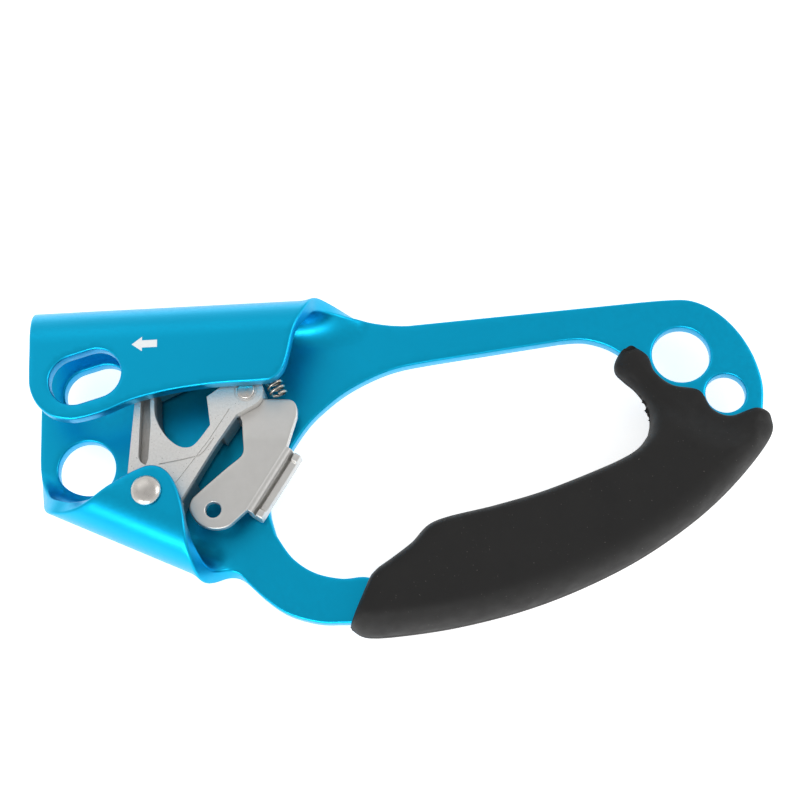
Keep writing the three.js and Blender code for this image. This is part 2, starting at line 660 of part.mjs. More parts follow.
// A helix about any axis, after the points of its leg where it has one.
function coil(centre, axis, side, { radius, pitch, turns }, leg = []) {
  const third = new THREE.Vector3().crossVectors(axis, side);
  const at = (angle) => centre.clone()
    .addScaledVector(side, radius * Math.cos(angle))
    .addScaledVector(third, radius * Math.sin(angle))
    .addScaledVector(axis, (pitch * angle) / (2 * Math.PI));
  const steps = Math.round(turns * 10);
  const route = Array.from({ length: steps + 1 }, (_, i) => at((i / steps) * turns * 2 * Math.PI));
  return new THREE.CatmullRomCurve3([...leg, ...route]);
}

const CATCH_SPRING = { radius: 1.9, pitch: 1.5, turns: 7.2, wire: 0.36 };
const CATCH_SPRING_FOOT = new THREE.Vector3(-22.9, 10.55, (CATCH_BACK + CATCH_FRONT) / 2);
const CATCH_SPRING_LEAN = new THREE.Vector3(-0.38, 0.925, 0).normalize();
const RETURN_SPRING = { radius: 4.1, pitch: 1.05, turns: 2.1, wire: 0.36 };

function catchSpring() {
  const path = coil(CATCH_SPRING_FOOT, CATCH_SPRING_LEAN, new THREE.Vector3(0, 0, 1), CATCH_SPRING);
  return wire(path, CATCH_SPRING.wire, 72, 6);
}

function camReturnSpring() {
  const centre = new THREE.Vector3(PIVOT.x, PIVOT.y, 1.75);
  const side = new THREE.Vector3(acrossFold.x, acrossFold.y, 0);
  const tip = centre.clone().addScaledVector(side, 5.7).add(new THREE.Vector3(-1.4, 0.6, 0));
  const path = coil(centre, new THREE.Vector3(0, 0, 1), side, RETURN_SPRING, [tip]);
  return wire(path, RETURN_SPRING.wire, 44, 6);
}

// ---------------------------------------------------------------- pins and washers

function pivotRivet() {
  const shank = RIVET_HOLE_R - PLAY;
  const headFrom = FLAP_FRONT + PLAY;
  return turned([
    [0, -SHEET - PLAY - 1.3], [3.4, -SHEET - PLAY - 1.3], [4.2, -SHEET - PLAY], [shank, -SHEET - PLAY],
    [shank, headFrom], [3.75, headFrom], [3.45, headFrom + 0.7], [2.5, headFrom + 1.25],
    [1.3, headFrom + 1.6], [0, headFrom + RIVET_DOME],
  ], PIVOT);
}

function pivotBush() {
  const inner = RIVET_HOLE_R + 0.05;
  const outer = CAM_BORE_R - PLAY;
  return turned([
    [inner, PLAY], [outer, PLAY], [outer, FLAP_BACK - PLAY], [inner, FLAP_BACK - PLAY], [inner, PLAY],
  ], PIVOT);
}

const WASHER_R = 3.9;
const WASHER_THICK = 0.4;

function camWasher(low) {
  const high = low + WASHER_THICK;
  return turned([
    [CAM_BORE_R, low], [WASHER_R, low], [WASHER_R, high], [CAM_BORE_R, high], [CAM_BORE_R, low],
  ], PIVOT);
}

function catchPin() {
  return turned([
    [0, 0.4], [2.2, 0.4], [2.2, CAM_BACK - PLAY], [1.5, CAM_BACK - PLAY], [1.5, CAM_FRONT + 0.2],
    [2.2, CAM_FRONT + 0.2], [1.9, CAM_FRONT + 0.65], [0, CAM_FRONT + 0.8],
  ], CATCH_PIVOT, 20);
}

// ---------------------------------------------------------------- assembly

const ascender = new THREE.Group();

function add(name, geometry, material) {
  const mesh = new THREE.Mesh(geometry.index ? geometry : merged(geometry), material);
  mesh.name = name;
  mesh.position.copy(PLACEMENT);
  ascender.add(mesh);
}

add('frame', frameGeometry(), blueAnodised);
add('grip_front', gripFront(), blackRubber);
add('grip_rear', gripRear(), blackRubber);
add('cam_pivot_rivet', pivotRivet(), polishedSteel);
add('cam_pivot_bush', pivotBush(), springSteel);
add('cam_washer_rear', camWasher(PLAY), washerPolymer);
add('cam_washer_front', camWasher(FLAP_BACK - PLAY - WASHER_THICK), washerPolymer);
add('cam_return_spring', camReturnSpring(), springSteel);
add('cam', camSolid(), castSteel);
add('catch_pivot_pin', catchPin(), polishedSteel);
add('safety_catch', catchSolid(), stampedSteel);
add('catch_spring', catchSpring(), springSteel);

export default ascender;
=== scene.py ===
"""Looks of a handled rope ascender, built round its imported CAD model.

Shapes are drawn in millimetres in the part's drawing frame: the front of the flat plate is
z = 0, +X runs down the rope, +Y from the grip to the rope channel and +Z to the front.
to_frame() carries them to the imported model's own frame, in metres.
"""
import json
import math
import random

import bmesh
import bpy
import numpy as np
from mathutils import Matrix, Vector
from mathutils.geometry import delaunay_2d_cdt


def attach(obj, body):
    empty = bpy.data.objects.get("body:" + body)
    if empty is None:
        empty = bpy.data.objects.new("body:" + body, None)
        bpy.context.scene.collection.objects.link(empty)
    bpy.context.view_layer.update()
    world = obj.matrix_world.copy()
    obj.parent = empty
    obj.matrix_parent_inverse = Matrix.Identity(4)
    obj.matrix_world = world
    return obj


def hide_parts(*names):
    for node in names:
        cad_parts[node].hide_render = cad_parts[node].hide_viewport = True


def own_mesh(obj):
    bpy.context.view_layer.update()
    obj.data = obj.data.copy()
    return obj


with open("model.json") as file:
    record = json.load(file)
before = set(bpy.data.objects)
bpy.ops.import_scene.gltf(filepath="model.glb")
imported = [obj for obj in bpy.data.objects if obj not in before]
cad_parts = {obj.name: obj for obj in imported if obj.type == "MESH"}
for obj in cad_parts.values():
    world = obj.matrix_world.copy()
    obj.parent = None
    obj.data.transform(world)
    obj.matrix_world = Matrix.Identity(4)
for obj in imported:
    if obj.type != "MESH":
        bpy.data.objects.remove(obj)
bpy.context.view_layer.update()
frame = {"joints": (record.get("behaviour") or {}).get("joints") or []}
joints = {joint["name"]: joint for joint in frame["joints"]}

MM = 0.001

# ---------------------------------------------------------------- camera

CAMERA_AT = Vector((18.875, -112.740, 422.370)) * MM
CAMERA_RIGHT = Vector((0.99779, -0.03353, -0.05731))
CAMERA_BACK = Vector((0.04459, -0.30104, 0.95257))
LENS_MM = 75.6
SENSOR_MM = 36.0


def add_camera():
    right = CAMERA_RIGHT.normalized()
    back = CAMERA_BACK.normalized()
    up = back.cross(right).normalized()
    data = bpy.data.cameras.new("camera")
    data.lens = LENS_MM
    data.sensor_width = SENSOR_MM
    camera = bpy.data.objects.new("camera", data)
    turn = Matrix((right, up, back)).transposed().to_4x4()
    camera.matrix_world = Matrix.Translation(CAMERA_AT) @ turn
    bpy.context.scene.collection.objects.link(camera)
    bpy.context.scene.camera = camera


add_camera()

# ---------------------------------------------------------------- driving dimensions

SHEET = 4.0
CHANNEL = 13.0
PLAY = 0.3
SHELL_DEPTH = 8.0
MID = -SHEET / 2
FLAP_FRONT = CHANNEL + SHEET
FOLD_R = (CHANNEL + SHEET) / 2
FOLD_LENGTH = math.pi * FOLD_R
CHANNEL_FOLD_Y = 25.1
PIVOT_FOLD_AT = np.array((-75.96, -8.09))
PIVOT_FOLD_TURN = math.radians(-25)
ALONG = np.array((math.cos(PIVOT_FOLD_TURN), math.sin(PIVOT_FOLD_TURN)))
ACROSS = np.array((ALONG[1], -ALONG[0]))
PIVOT = np.array((-54.8, -15.1))
CATCH_PIVOT = np.array((-30.9, 10.9))
CAM_BACK, CAM_FRONT = 1.0, 12.0
CATCH_BACK, CATCH_FRONT = 6.5, 8.8

# The cam's joint stands on PIVOT, half way up the channel: that fixes the drawing frame.
PLACEMENT = Vector(joints["cam_pivot"]["pos_m"]) / MM - Vector((*PIVOT, CHANNEL / 2))

# ---------------------------------------------------------------- mesh helpers


def to_frame(points):
    return (np.asarray(points, float) + np.array(PLACEMENT)) * MM


def mesh_object(name, points, faces, smooth=True):
    mesh = bpy.data.meshes.new(name)
    mesh.from_pydata(to_frame(points).tolist(), [], [tuple(map(int, f)) for f in faces])
    mesh.validate()
    mesh.polygons.foreach_set("use_smooth", [smooth] * len(mesh.polygons))
    thing = bpy.data.objects.new(name, mesh)
    bpy.context.scene.collection.objects.link(thing)
    return thing


def apply_modifiers(thing):
    graph = bpy.context.evaluated_depsgraph_get()
    mesh = bpy.data.meshes.new_from_object(thing.evaluated_get(graph))
    thing.modifiers.clear()
    thing.data = mesh
    return thing


def outward(thing):
    """Makes a closed mesh's faces look outwards."""
    work = bmesh.new()
    work.from_mesh(thing.data)
    bmesh.ops.recalc_face_normals(work, faces=work.faces)
    work.to_mesh(thing.data)
    work.free()
    return thing


def boolean(thing, other, operation):
    step = thing.modifiers.new(operation, "BOOLEAN")
    step.operation = operation
    step.solver = "EXACT"
    step.object = other
    apply_modifiers(thing)
    bpy.data.objects.remove(other)
    return thing


def cut(thing, *others):
    for other in others:
        boolean(thing, other, "DIFFERENCE")
    return thing


def joined(thing, *others):
    for other in others:
        boolean(thing, other, "UNION")
    return thing


def edge_round(thing, width, segments=3, angle=32):
    """Rounds a piece's sharp edges and shades it smooth between them."""
    tidy = thing.modifiers.new("tidy", "DECIMATE")
    tidy.decimate_type = "DISSOLVE"
    tidy.angle_limit = math.radians(0.5)
    bevel = thing.modifiers.new("edges", "BEVEL")
    bevel.width = width * MM
    bevel.segments = segments
    bevel.limit_method = "ANGLE"
    bevel.angle_limit = math.radians(angle)
    bevel.use_clamp_overlap = True
    apply_modifiers(thing)
    thing.data.polygons.foreach_set("use_smooth", [True] * len(thing.data.polygons))
    normals = thing.modifiers.new("normals", "WEIGHTED_NORMAL")
    normals.keep_sharp = True
    return apply_modifiers(thing)


def spline_point(points, i, t):
    """A point of a uniform Catmull-Rom curve, a share t of the way from points[i] to the next."""
    p0, p1 = points[max(i - 1, 0)], points[i]
    p2, p3 = points[i + 1], points[min(i + 2, len(points) - 1)]
    v0, v1 = (p2 - p0) / 2, (p3 - p1) / 2
    cubic = (2 * p1 - 2 * p2 + v0 + v1) * t**3
    square = (-3 * p1 + 3 * p2 - 2 * v0 - v1) * t**2
    return cubic + square + v0 * t + p1


def spline(points, steps=8):
    """A smooth curve through the points."""
    points = [np.asarray(p, float) for p in points]
    made = [spline_point(points, i, k / steps) for i in range(len(points) - 1) for k in range(steps)]
    return [*made, points[-1]]


def spline_at(points, share):
    """The point of spline(points) at a share of its steps."""
    points = np.asarray(points, float)
    last = len(points) - 1
    place = min(share * last, last - 1e-9)
    return spline_point(points, int(place), place - int(place))


def arc(centre, radius, start, end, steps=24):
    """Points round an arc that starts and ends at the given numbers of half turns."""
    angles = np.linspace(start * math.pi, end * math.pi, steps + 1)
    centre = np.asarray(centre, float)
    return [centre + np.array((radius * math.cos(a), radius * math.sin(a))) for a in angles]


def quadratic(start, handle, end, steps=6):
    start, handle, end = (np.asarray(p, float) for p in (start, handle, end))
    times = np.linspace(0, 1, steps + 1)
    return [(1 - t) ** 2 * start + 2 * t * (1 - t) * handle + t * t * end for t in times]


def spread(loop, gap):
    """A closed loop's points set out again at an even spacing."""
    loop = np.asarray(loop, float)
    closed = np.vstack([loop, loop[:1]])
    run = np.concatenate([[0], np.cumsum(np.linalg.norm(np.diff(closed, axis=0), axis=1))])
    at = np.linspace(0, run[-1], max(12, int(run[-1] / gap)) + 1)[:-1]
    return np.column_stack([np.interp(at, run, closed[:, 0]), np.interp(at, run, closed[:, 1])])


def prism(name, loop, low, high):
    """A flat outline pulled from one height to another."""
    kept = [p for i, p in enumerate(loop) if np.linalg.norm(np.asarray(p) - loop[i - 1]) > 0.01]
    count = len(kept)
    points = [(*p, low) for p in kept] + [(*p, high) for p in kept]
    faces = [list(range(count))[::-1], list(range(count, 2 * count))]
    faces += [(i, (i + 1) % count, (i + 1) % count + count, i + count) for i in range(count)]
    return outward(mesh_object(name, points, faces, smooth=False))


def walls(rings, sides):
    """The four-sided faces between rings of points that follow each other in a list."""
    faces = []
    for ring in range(rings - 1):
        for k in range(sides):
            n = (k + 1) % sides
            low, high = ring * sides, (ring + 1) * sides
            faces.append((low + k, low + n, high + n, high + k))
    return faces


def turned(name, profile, centre, sides=64):
    """A profile of (radius, height) pairs turned about Z, closed on the axis or on itself."""
    points, rows = [], []
    for radius, height in profile:
        if radius < 1e-6:
            rows.append([len(points)] * sides)
            points.append((centre[0], centre[1], height))
            continue
        rows.append(list(range(len(points), len(points) + sides)))
        for i in range(sides):
            a = 2 * math.pi * i / sides
            points.append((centre[0] + radius * math.cos(a), centre[1] + radius * math.sin(a), height))
    faces = []
    for low, high in zip(rows, rows[1:]):
        for i in range(sides):
            j = (i + 1) % sides
            face = list(dict.fromkeys((low[i], low[j], high[j], high[i])))
            if len(face) > 2:
                faces.append(face)
    thing = mesh_object(name, points, faces, smooth=False)
    work = bmesh.new()
    work.from_mesh(thing.data)
    bmesh.ops.remove_doubles(work, verts=work.verts, dist=1e-7)
    bmesh.ops.recalc_face_normals(work, faces=work.faces)
    work.to_mesh(thing.data)
    work.free()
    return thing


def round_cut(centre, radius, low, high, sides=48):
    return prism("cutter", arc(centre, radius, 0, 2, sides)[:-1], low, high)


# The dome on a wire's end, as shares of the wire's radius.
DOME_LONG, DOME_WIDE = 0.4, 0.6


def wire(name, route, radius, sides=12):
    """A round wire along a route of points, its ends closed with a small dome."""
    route = [Vector(p) for p in route]
    last = len(route) - 1
    tangents = [(route[min(i + 1, last)] - route[max(i - 1, 0)]).normalized() for i in range(last + 1)]
    side = tangents[0].orthogonal().normalized()
    points = []

    def ring(centre, tangent, scale):
        other = tangent.cross(side)
        for k in range(sides):
            a = 2 * math.pi * k / sides
            points.append(tuple(centre + (side * math.cos(a) + other * math.sin(a)) * radius * scale))

    ring(route[0] - tangents[0] * radius * DOME_LONG, tangents[0], DOME_WIDE)
    for centre, tangent in zip(route, tangents):
        side = (side - tangent * side.dot(tangent)).normalized()
        ring(centre, tangent, 1.0)
    ring(route[-1] + tangents[-1] * radius * DOME_LONG, tangents[-1], DOME_WIDE)
    rings = len(points) // sides
    caps = [tuple(range(sides))[::-1], tuple(range((rings - 1) * sides, rings * sides))]
    return outward(mesh_object(name, points, walls(rings, sides) + caps))


# ---------------------------------------------------------------- materials


class Surface:
    """A node material with a Principled shader and object-space noise."""

    def __init__(self, name, color, metallic, roughness):
        self.material = bpy.data.materials.new(name)
        self.material.use_nodes = True
        self.tree = self.material.node_tree
        self.shader = self.tree.nodes["Principled BSDF"]
        self.set("Base Color", (*color, 1.0))
        self.set("Metallic", metallic)
        self.set("Roughness", roughness)
        self.height = None

    def set(self, socket, value):
        self.shader.inputs[socket].default_value = value

    def node(self, kind, **inputs):
        made = self.tree.nodes.new(kind)
        for name, value in inputs.items():
            socket = made.inputs[name]
            if isinstance(value, bpy.types.NodeSocket):
                self.tree.links.new(value, socket)
            else:
                socket.default_value = value
        return made

    def link(self, source, target):
        self.tree.links.new(source, target)

    def noise(self, size_mm, detail=3.0, stretch=(1, 1, 1), roughness=0.55):
        """Noise whose features are about size_mm across."""
        place = self.tree.nodes.new("ShaderNodeTexCoord")
        scaled = self.tree.nodes.new("ShaderNodeMapping")
        scaled.inputs["Scale"].default_value = stretch
        self.link(place.outputs["Object"], scaled.inputs["Vector"])
        scale = 1 / (size_mm * MM)
        made = self.node("ShaderNodeTexNoise", Scale=scale, Detail=detail, Roughness=roughness)
        self.link(scaled.outputs["Vector"], made.inputs["Vector"])
        return made.outputs["Fac"]

    def remap(self, source, low, high, to_low, to_high):
        made = self.node("ShaderNodeMapRange")
        made.clamp = True
        self.link(source, made.inputs["Value"])
        ends = {"From Min": low, "From Max": high, "To Min": to_low, "To Max": to_high}
        for name, value in ends.items():
            made.inputs[name].default_value = value
        return made.outputs["Result"]

    def vary_roughness(self, source, low, high):
        self.link(self.remap(source, 0.3, 0.7, low, high), self.shader.inputs["Roughness"])

    def tint(self, factor, dark, light):
        """Colour between dark and light by a factor; call again to lay a further tint over it."""
        mix = self.tree.nodes.new("ShaderNodeMix")
        mix.data_type = "RGBA"
        socket = self.shader.inputs["Base Color"]
        inputs = [i for i in mix.inputs if i.type == "RGBA"]
        if dark is None and socket.links:
            self.link(socket.links[0].from_socket, inputs[0])
        else:
            inputs[0].default_value = (*(dark or socket.default_value[:3]), 1)
        inputs[1].default_value = (*light, 1)
        self.link(factor, mix.inputs["Factor"])
        self.link([o for o in mix.outputs if o.type == "RGBA"][0], socket)

    def bump(self, source, depth_mm, strength=1.0):
        made = self.node("ShaderNodeBump", Strength=strength, Distance=depth_mm * MM)
        self.link(source, made.inputs["Height"])
        if self.height is not None:
            self.link(self.height, made.inputs["Normal"])
        self.height = made.outputs["Normal"]
        self.link(self.height, self.shader.inputs["Normal"])


def anodised_blue():
    """Bead-blasted, satin anodised aluminium with a fine even grain and a few handling marks."""
    s = Surface("anodised_blue", (0.0, 0.41, 0.69), 1.0, 0.46)
    s.set("Coat Weight", 0.15)
    s.set("Coat Roughness", 0.3)
    s.tint(s.noise(14, 2), (0.0, 0.395, 0.67), (0.0, 0.425, 0.71))
    marks = s.remap(s.noise(3.2, 5, (1, 6, 1)), 0.70, 0.76, 0.0, 0.22)
    s.tint(marks, None, (0.02, 0.20, 0.36))
    s.vary_roughness(s.noise(0.9, 4), 0.32, 0.43)
    s.bump(s.noise(0.22, 2), 0.010, 0.55)
    s.bump(s.noise(5.0, 2), 0.03, 0.25)
    return s.material


def moulded_rubber():
    """Black rubber with a fine moulded grain, dust specks and light scuffs."""
    s = Surface("moulded_rubber", (0.011, 0.0105, 0.0105), 0.0, 0.6)
    s.set("Specular IOR Level", 0.25)
    s.tint(s.noise(9, 3), (0.010, 0.0098, 0.0098), (0.014, 0.0135, 0.013))
    s.tint(s.remap(s.noise(0.55, 2), 0.735, 0.76, 0, 0.6), None, (0.16, 0.15, 0.14))
    s.tint(s.remap(s.noise(1.6, 3, (1, 5, 1)), 0.73, 0.77, 0, 0.35), None, (0.09, 0.085, 0.08))
    s.vary_roughness(s.noise(4, 4), 0.54, 0.68)
    s.bump(s.noise(0.30, 3), 0.03, 0.35)
    s.bump(s.noise(7.5, 1), 0.10, 0.10)
    return s.material


# Heights in the frame between which painted shade darkens the cam towards its back.
CAM_SHADE_TOP = (CAM_FRONT - 1.0 + PLACEMENT.z) * MM
CAM_SHADE_FLOOR = (CAM_BACK + 6.5 + PLACEMENT.z) * MM


def cast_steel():
    """Investment-cast steel: sandy grain with small dark pits, and painted shade that darkens it from its
    front towards its back.
    """
    s = Surface("cast_steel", (0.78, 0.77, 0.75), 0.9, 0.42)
    s.tint(s.noise(0.6, 4), (0.68, 0.67, 0.65), (0.88, 0.87, 0.85))
    s.tint(s.remap(s.noise(0.42, 3), 0.66, 0.72, 0, 0.75), None, (0.13, 0.12, 0.11))
    place = s.tree.nodes.new("ShaderNodeTexCoord")
    split = s.tree.nodes.new("ShaderNodeSeparateXYZ")
    s.link(place.outputs["Object"], split.inputs["Vector"])
    # Painted shade: the colour darkens with depth below the cam's front, standing in for shadow on its
    # side walls and groove floors.
    depth = s.remap(split.outputs["Z"], CAM_SHADE_TOP, CAM_SHADE_FLOOR, 0, 0.8)
    s.tint(depth, None, (0.17, 0.15, 0.135))
    s.vary_roughness(s.noise(0.5, 4), 0.34, 0.56)
    s.bump(s.noise(0.30, 4), 0.09, 0.8)
    s.bump(s.noise(1.8, 2), 0.08, 0.35)
    return s.material


def stamped_steel():
    """Tumbled stainless sheet: soft satin with a faint rolling direction."""
    s = Surface("stamped_steel", (0.66, 0.65, 0.63), 0.9, 0.38)
    s.tint(s.noise(3.0, 3), (0.62, 0.61, 0.59), (0.70, 0.69, 0.67))
    s.vary_roughness(s.noise(0.7, 4, (1, 3, 1)), 0.32, 0.46)
    s.bump(s.noise(0.35, 3), 0.015, 0.5)
    return s.material


def polished_steel():
    """A formed rivet head: bright, with soft dents from the setting tool."""
    s = Surface("polished_steel", (0.64, 0.61, 0.575), 1.0, 0.22)
    s.tint(s.noise(2.2, 3), (0.56, 0.53, 0.50), (0.70, 0.67, 0.63))
    s.vary_roughness(s.noise(1.2, 4), 0.24, 0.36)
    s.bump(s.noise(2.8, 1), 0.02, 0.3)
    s.bump(s.noise(0.4, 3), 0.006, 0.4)
    return s.material


def spring_steel():
    """Drawn wire with a warm tempered cast."""
    s = Surface("spring_steel", (0.50, 0.44, 0.38), 1.0, 0.26)
    s.tint(s.noise(1.4, 3), (0.42, 0.36, 0.30), (0.60, 0.55, 0.49))
    s.vary_roughness(s.noise(0.5, 3), 0.20, 0.36)
    s.bump(s.noise(0.18, 2), 0.006, 0.5)
    return s.material


def washer_polymer():
    """Natural acetal with faint turning marks."""
    s = Surface("washer_polymer", (0.62, 0.60, 0.55), 0.0, 0.45)
    s.tint(s.noise(1.8, 3), (0.58, 0.56, 0.51), (0.66, 0.64, 0.59))
    s.vary_roughness(s.noise(0.6, 3), 0.38, 0.52)
    s.bump(s.noise(0.2, 2), 0.008, 0.4)
    return s.material


def white_ink():
    """Thin screen-printed ink, slightly uneven."""
    s = Surface("white_ink", (0.82, 0.84, 0.85), 0.0, 0.5)
    s.tint(s.noise(0.7, 3), (0.74, 0.78, 0.80), (0.90, 0.91, 0.92))
    s.vary_roughness(s.noise(0.5, 3), 0.42, 0.58)
    s.bump(s.noise(0.2, 2), 0.004, 0.4)
    return s.material


MATERIALS = {
    "frame_anodised": anodised_blue(),
    "grip_rubber": moulded_rubber(),
    "cam_cast_steel": cast_steel(),
    "catch_stamped_steel": stamped_steel(),
    "rivet_steel": polished_steel(),
    "spring_steel": spring_steel(),
    "bush_steel": spring_steel(),
    "washer_polymer": washer_polymer(),
}


def finish_piece(thing, slot, body, *nodes):
    """Gives a piece its material and body, and hides the CAD nodes it stands for."""
    thing.data.materials.clear()
    thing.data.materials.append(MATERIALS[slot])
    if nodes:
        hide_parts(*nodes)
    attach(thing, body)
    return thing


# ---------------------------------------------------------------- frame: flat pattern

FLAP_CORNER = (-86.2, 38)
CHANNEL_FLAP_EDGE = [
    (-85.2, 27), (-85.0, 17.3), (-84.6, 12.6), (-82.6, 8.4), (-79.2, 5.4), (-75.6, 4.3), (-72.3, 4.2),
    (-66.2, 5.6), (-58.5, 8.5), (-49, 10.5), (-38, 11.6), (-27.5, 11.8), (-23.8, 12.2), (-21.2, 14.4),
    (-19.8, 18), (-18.2, 24.6), (-16.2, 28.9),
]
CHANNEL_RUN_OUT = [
    (-14.6, 45), (-13, 41), (-10.6, 37.6), (-6.4, 34.6), (-0.9, 32.2), (5, 30.9), (9.6, 30.5),
]
HANDLE_END = [
    (70.5, 33.7), (76.9, 33.9), (82.1, 33.7), (86.1, 32.3), (89.7, 29.9), (93, 26.5), (95.8, 22.3),
    (98, 17.3), (99.3, 11.9), (99.5, 7.8), (98.9, 3),
]
UNDER_GRIP_OUTER = [
    (97, -3.2), (88.4, -14.2), (78, -23), (65, -31), (50, -37.8), (35.4, -42.6), (20, -46), (6, -47.4),
    (-3, -46.8),
]
RING_OUTER = [(-9, -46.7), (-15, -46.3), (-22.2, -44), (-27.7, -40.2), (-33.2, -34.9)]
PIVOT_FLAP_EDGE = [
    (47.6, 5.9), (45.5, 7), (43.8, 9.6), (42.2, 13), (40.2, 16.6), (38, 20), (35, 24.6), (31.8, 29.2),
    (28.4, 33.1), (24.4, 35.8), (20.3, 35.7), (16.6, 32.4), (12.2, 26.4), (8.4, 21.4), (3.5, 17.2),
    (-0.6, 14.4), (-3.4, 11.2), (-6, 7.4),
]
LEFT_EDGE = [(-85.5, -7), (-85.9, -1)]
WINDOW_START = (-25.2, -23.6)
WINDOW_HANDLE = [
    (-26.7, -17.3), (-26, -11), (-22.6, -4), (-17, 4.4), (-11.5, 9.7), (-5.7, 13.8), (1.4, 17.2),
    (7.7, 19.1), (15.8, 20.3),
]
WINDOW_TIP = [(49.1, 24.1), (55, 24.1), (60.4, 22.4), (64.2, 20)]
WINDOW_UNDER_GRIP = [
    (65.7, 17.6), (66.8, 14.6), (69.4, 11.4), (71.8, 7), (72.6, 2.4), (72, -1.8), (69.2, -6.6),
    (63.4, -10.6), (55.4, -14), (42.6, -18.5), (30.6, -21.5), (16.6, -24.8), (10.8, -29.8),
    (5.4, -34.6), (0.6, -36.1),
]
WINDOW_RING = [(-3.6, -35.2), (-9, -35.4), (-15.7, -33.6), (-21.2, -29.6), WINDOW_START]

HOLE_R = 7.4
UPPER_HOLE = (-73.68, -4.21)
CARABINER_HOLE = (79.61, 18.77)
CORD_HOLE, CORD_HOLE_R = (90.01, 7.89), 5.1
SLOT_TURN, SLOT_R = math.radians(15.7), 6.4
FLAP_SLOT, FLAP_SLOT_HALF = (-70.72, 15.12), 2.8
PLATE_SLOT, PLATE_SLOT_HALF = (-71.43, 16.81), 2.2
RIVET_HOLE_R = 2.5


def turned_out(point):
    return (point[0], 2 * CHANNEL_FOLD_Y + FOLD_LENGTH - point[1])


def on_pivot_flap(point):
    return PIVOT_FOLD_AT + ALONG * point[0] + ACROSS * point[1]


def fold_across(point):
    return float((np.asarray(point) - PIVOT_FOLD_AT) @ ACROSS)


def slot_loop(centre, half, radius, turn):
    """A slot with two round ends."""
    loop = arc((half, 0), radius, -0.5, 0.5) + arc((-half, 0), radius, 0.5, 1.5)
    c, s = math.cos(turn), math.sin(turn)
    return [np.array((centre[0] + x * c - y * s, centre[1] + x * s + y * c)) for x, y in loop]


def outer_loop():
    flap = spline([FLAP_CORNER, *map(turned_out, CHANNEL_FLAP_EDGE)])
    run_out = spline([flap[-1], *CHANNEL_RUN_OUT])
    end = spline(HANDLE_END)
    under = spline([end[-1], *UNDER_GRIP_OUTER])
    ring = spline([under[-1], *RING_OUTER, *map(on_pivot_flap, PIVOT_FLAP_EDGE), *LEFT_EDGE])
    return [(FLAP_CORNER[0], CHANNEL_FOLD_Y), *flap, *run_out, *end, *under, *ring]


def window_loop():
    handle = spline([WINDOW_START, *WINDOW_HANDLE])
    tip = spline(WINDOW_TIP)
    under = spline([WINDOW_TIP[-1], *WINDOW_UNDER_GRIP])
    ring = spline([WINDOW_UNDER_GRIP[-1], *WINDOW_RING])
    return [*handle, *tip, *under, *ring[:-1]]


def hole_loops():
    flap_rivet = PIVOT + ACROSS * (FOLD_LENGTH - 2 * fold_across(PIVOT))
    return [
        slot_loop(UPPER_HOLE, 0, HOLE_R, 0),
        slot_loop(CARABINER_HOLE, 0, HOLE_R, 0),
        slot_loop(CORD_HOLE, 0, CORD_HOLE_R, 0),
        slot_loop(turned_out(FLAP_SLOT), FLAP_SLOT_HALF, SLOT_R, -SLOT_TURN),
        slot_loop(PLATE_SLOT, PLATE_SLOT_HALF, SLOT_R, SLOT_TURN),
        slot_loop(PIVOT, 0, RIVET_HOLE_R, 0),
        slot_loop(flap_rivet, 0, RIVET_HOLE_R, 0),
    ]


# ---------------------------------------------------------------- frame: folding

CHANNEL_OPENS = (-17, -1)
PIVOT_OPENS = (38, 51)
PIVOT_FOLD_ENDS_X = -25
EDGE_R = 0.65
EDGE_GAP = 0.6
SHEET_GAP = 1.25


def smoothstep(x, low, high):
    t = min(1.0, max(0.0, (x - low) / (high - low)))
    return t * t * (3 - 2 * t)


def bend(length, closure, offset):
    """How far a bent strip reaches and rises. A half-closed fold turns less, on a wider bend."""
    closed = max(closure, 1e-6)
    radius = FOLD_R / math.sqrt(closed)
    bent = min(length, closed * math.pi * radius)
    angle = bent / radius
    straight = length - bent
    sine, cosine = math.sin(angle), math.cos(angle)
    reach = radius * sine + straight * cosine - offset * sine
    return reach, radius * (1 - cosine) + straight * sine + offset * cosine


def fold(point, offset):
    """Carries a point of the flat pattern, offset from the mid-surface, to its folded place."""
    x, y = point
    if y > CHANNEL_FOLD_Y:
        reach, rise = bend(y - CHANNEL_FOLD_Y, 1 - smoothstep(x, *CHANNEL_OPENS), offset)
        return x, CHANNEL_FOLD_Y + reach, MID + rise
    across = fold_across(point)
    if across > 0 and x < PIVOT_FOLD_ENDS_X:
        along = float((np.asarray(point) - PIVOT_FOLD_AT) @ ALONG)
        reach, rise = bend(across, 1 - smoothstep(along, *PIVOT_OPENS), offset)
        return *on_pivot_flap((along, reach)), MID + rise
    return x, y, MID + offset


def inside(points, loop):
    """Which points lie inside a closed loop, by the even-odd rule."""
    x, y = points[:, 0], points[:, 1]
    result = np.zeros(len(points), bool)
    for (ax, ay), (bx, by) in zip(loop, np.roll(loop, -1, axis=0)):
        if ay == by:
            continue
        crosses = (ay > y) != (by > y)
        result ^= crosses & (x < (bx - ax) * (y - ay) / (by - ay) + ax)
    return result


def inset(loop, distance, into_left):
    """A loop's points moved sideways."""
    ahead = np.roll(loop, -1, axis=0) - np.roll(loop, 1, axis=0)
    ahead /= np.linalg.norm(ahead, axis=1)[:, None]
    side = np.column_stack([-ahead[:, 1], ahead[:, 0]])
    return loop + side * distance * (1 if into_left else -1)


def signed_area(loop):
    after = np.roll(loop, -1, axis=0)
    return float(np.sum(loop[:, 0] * after[:, 1] - after[:, 0] * loop[:, 1])) / 2


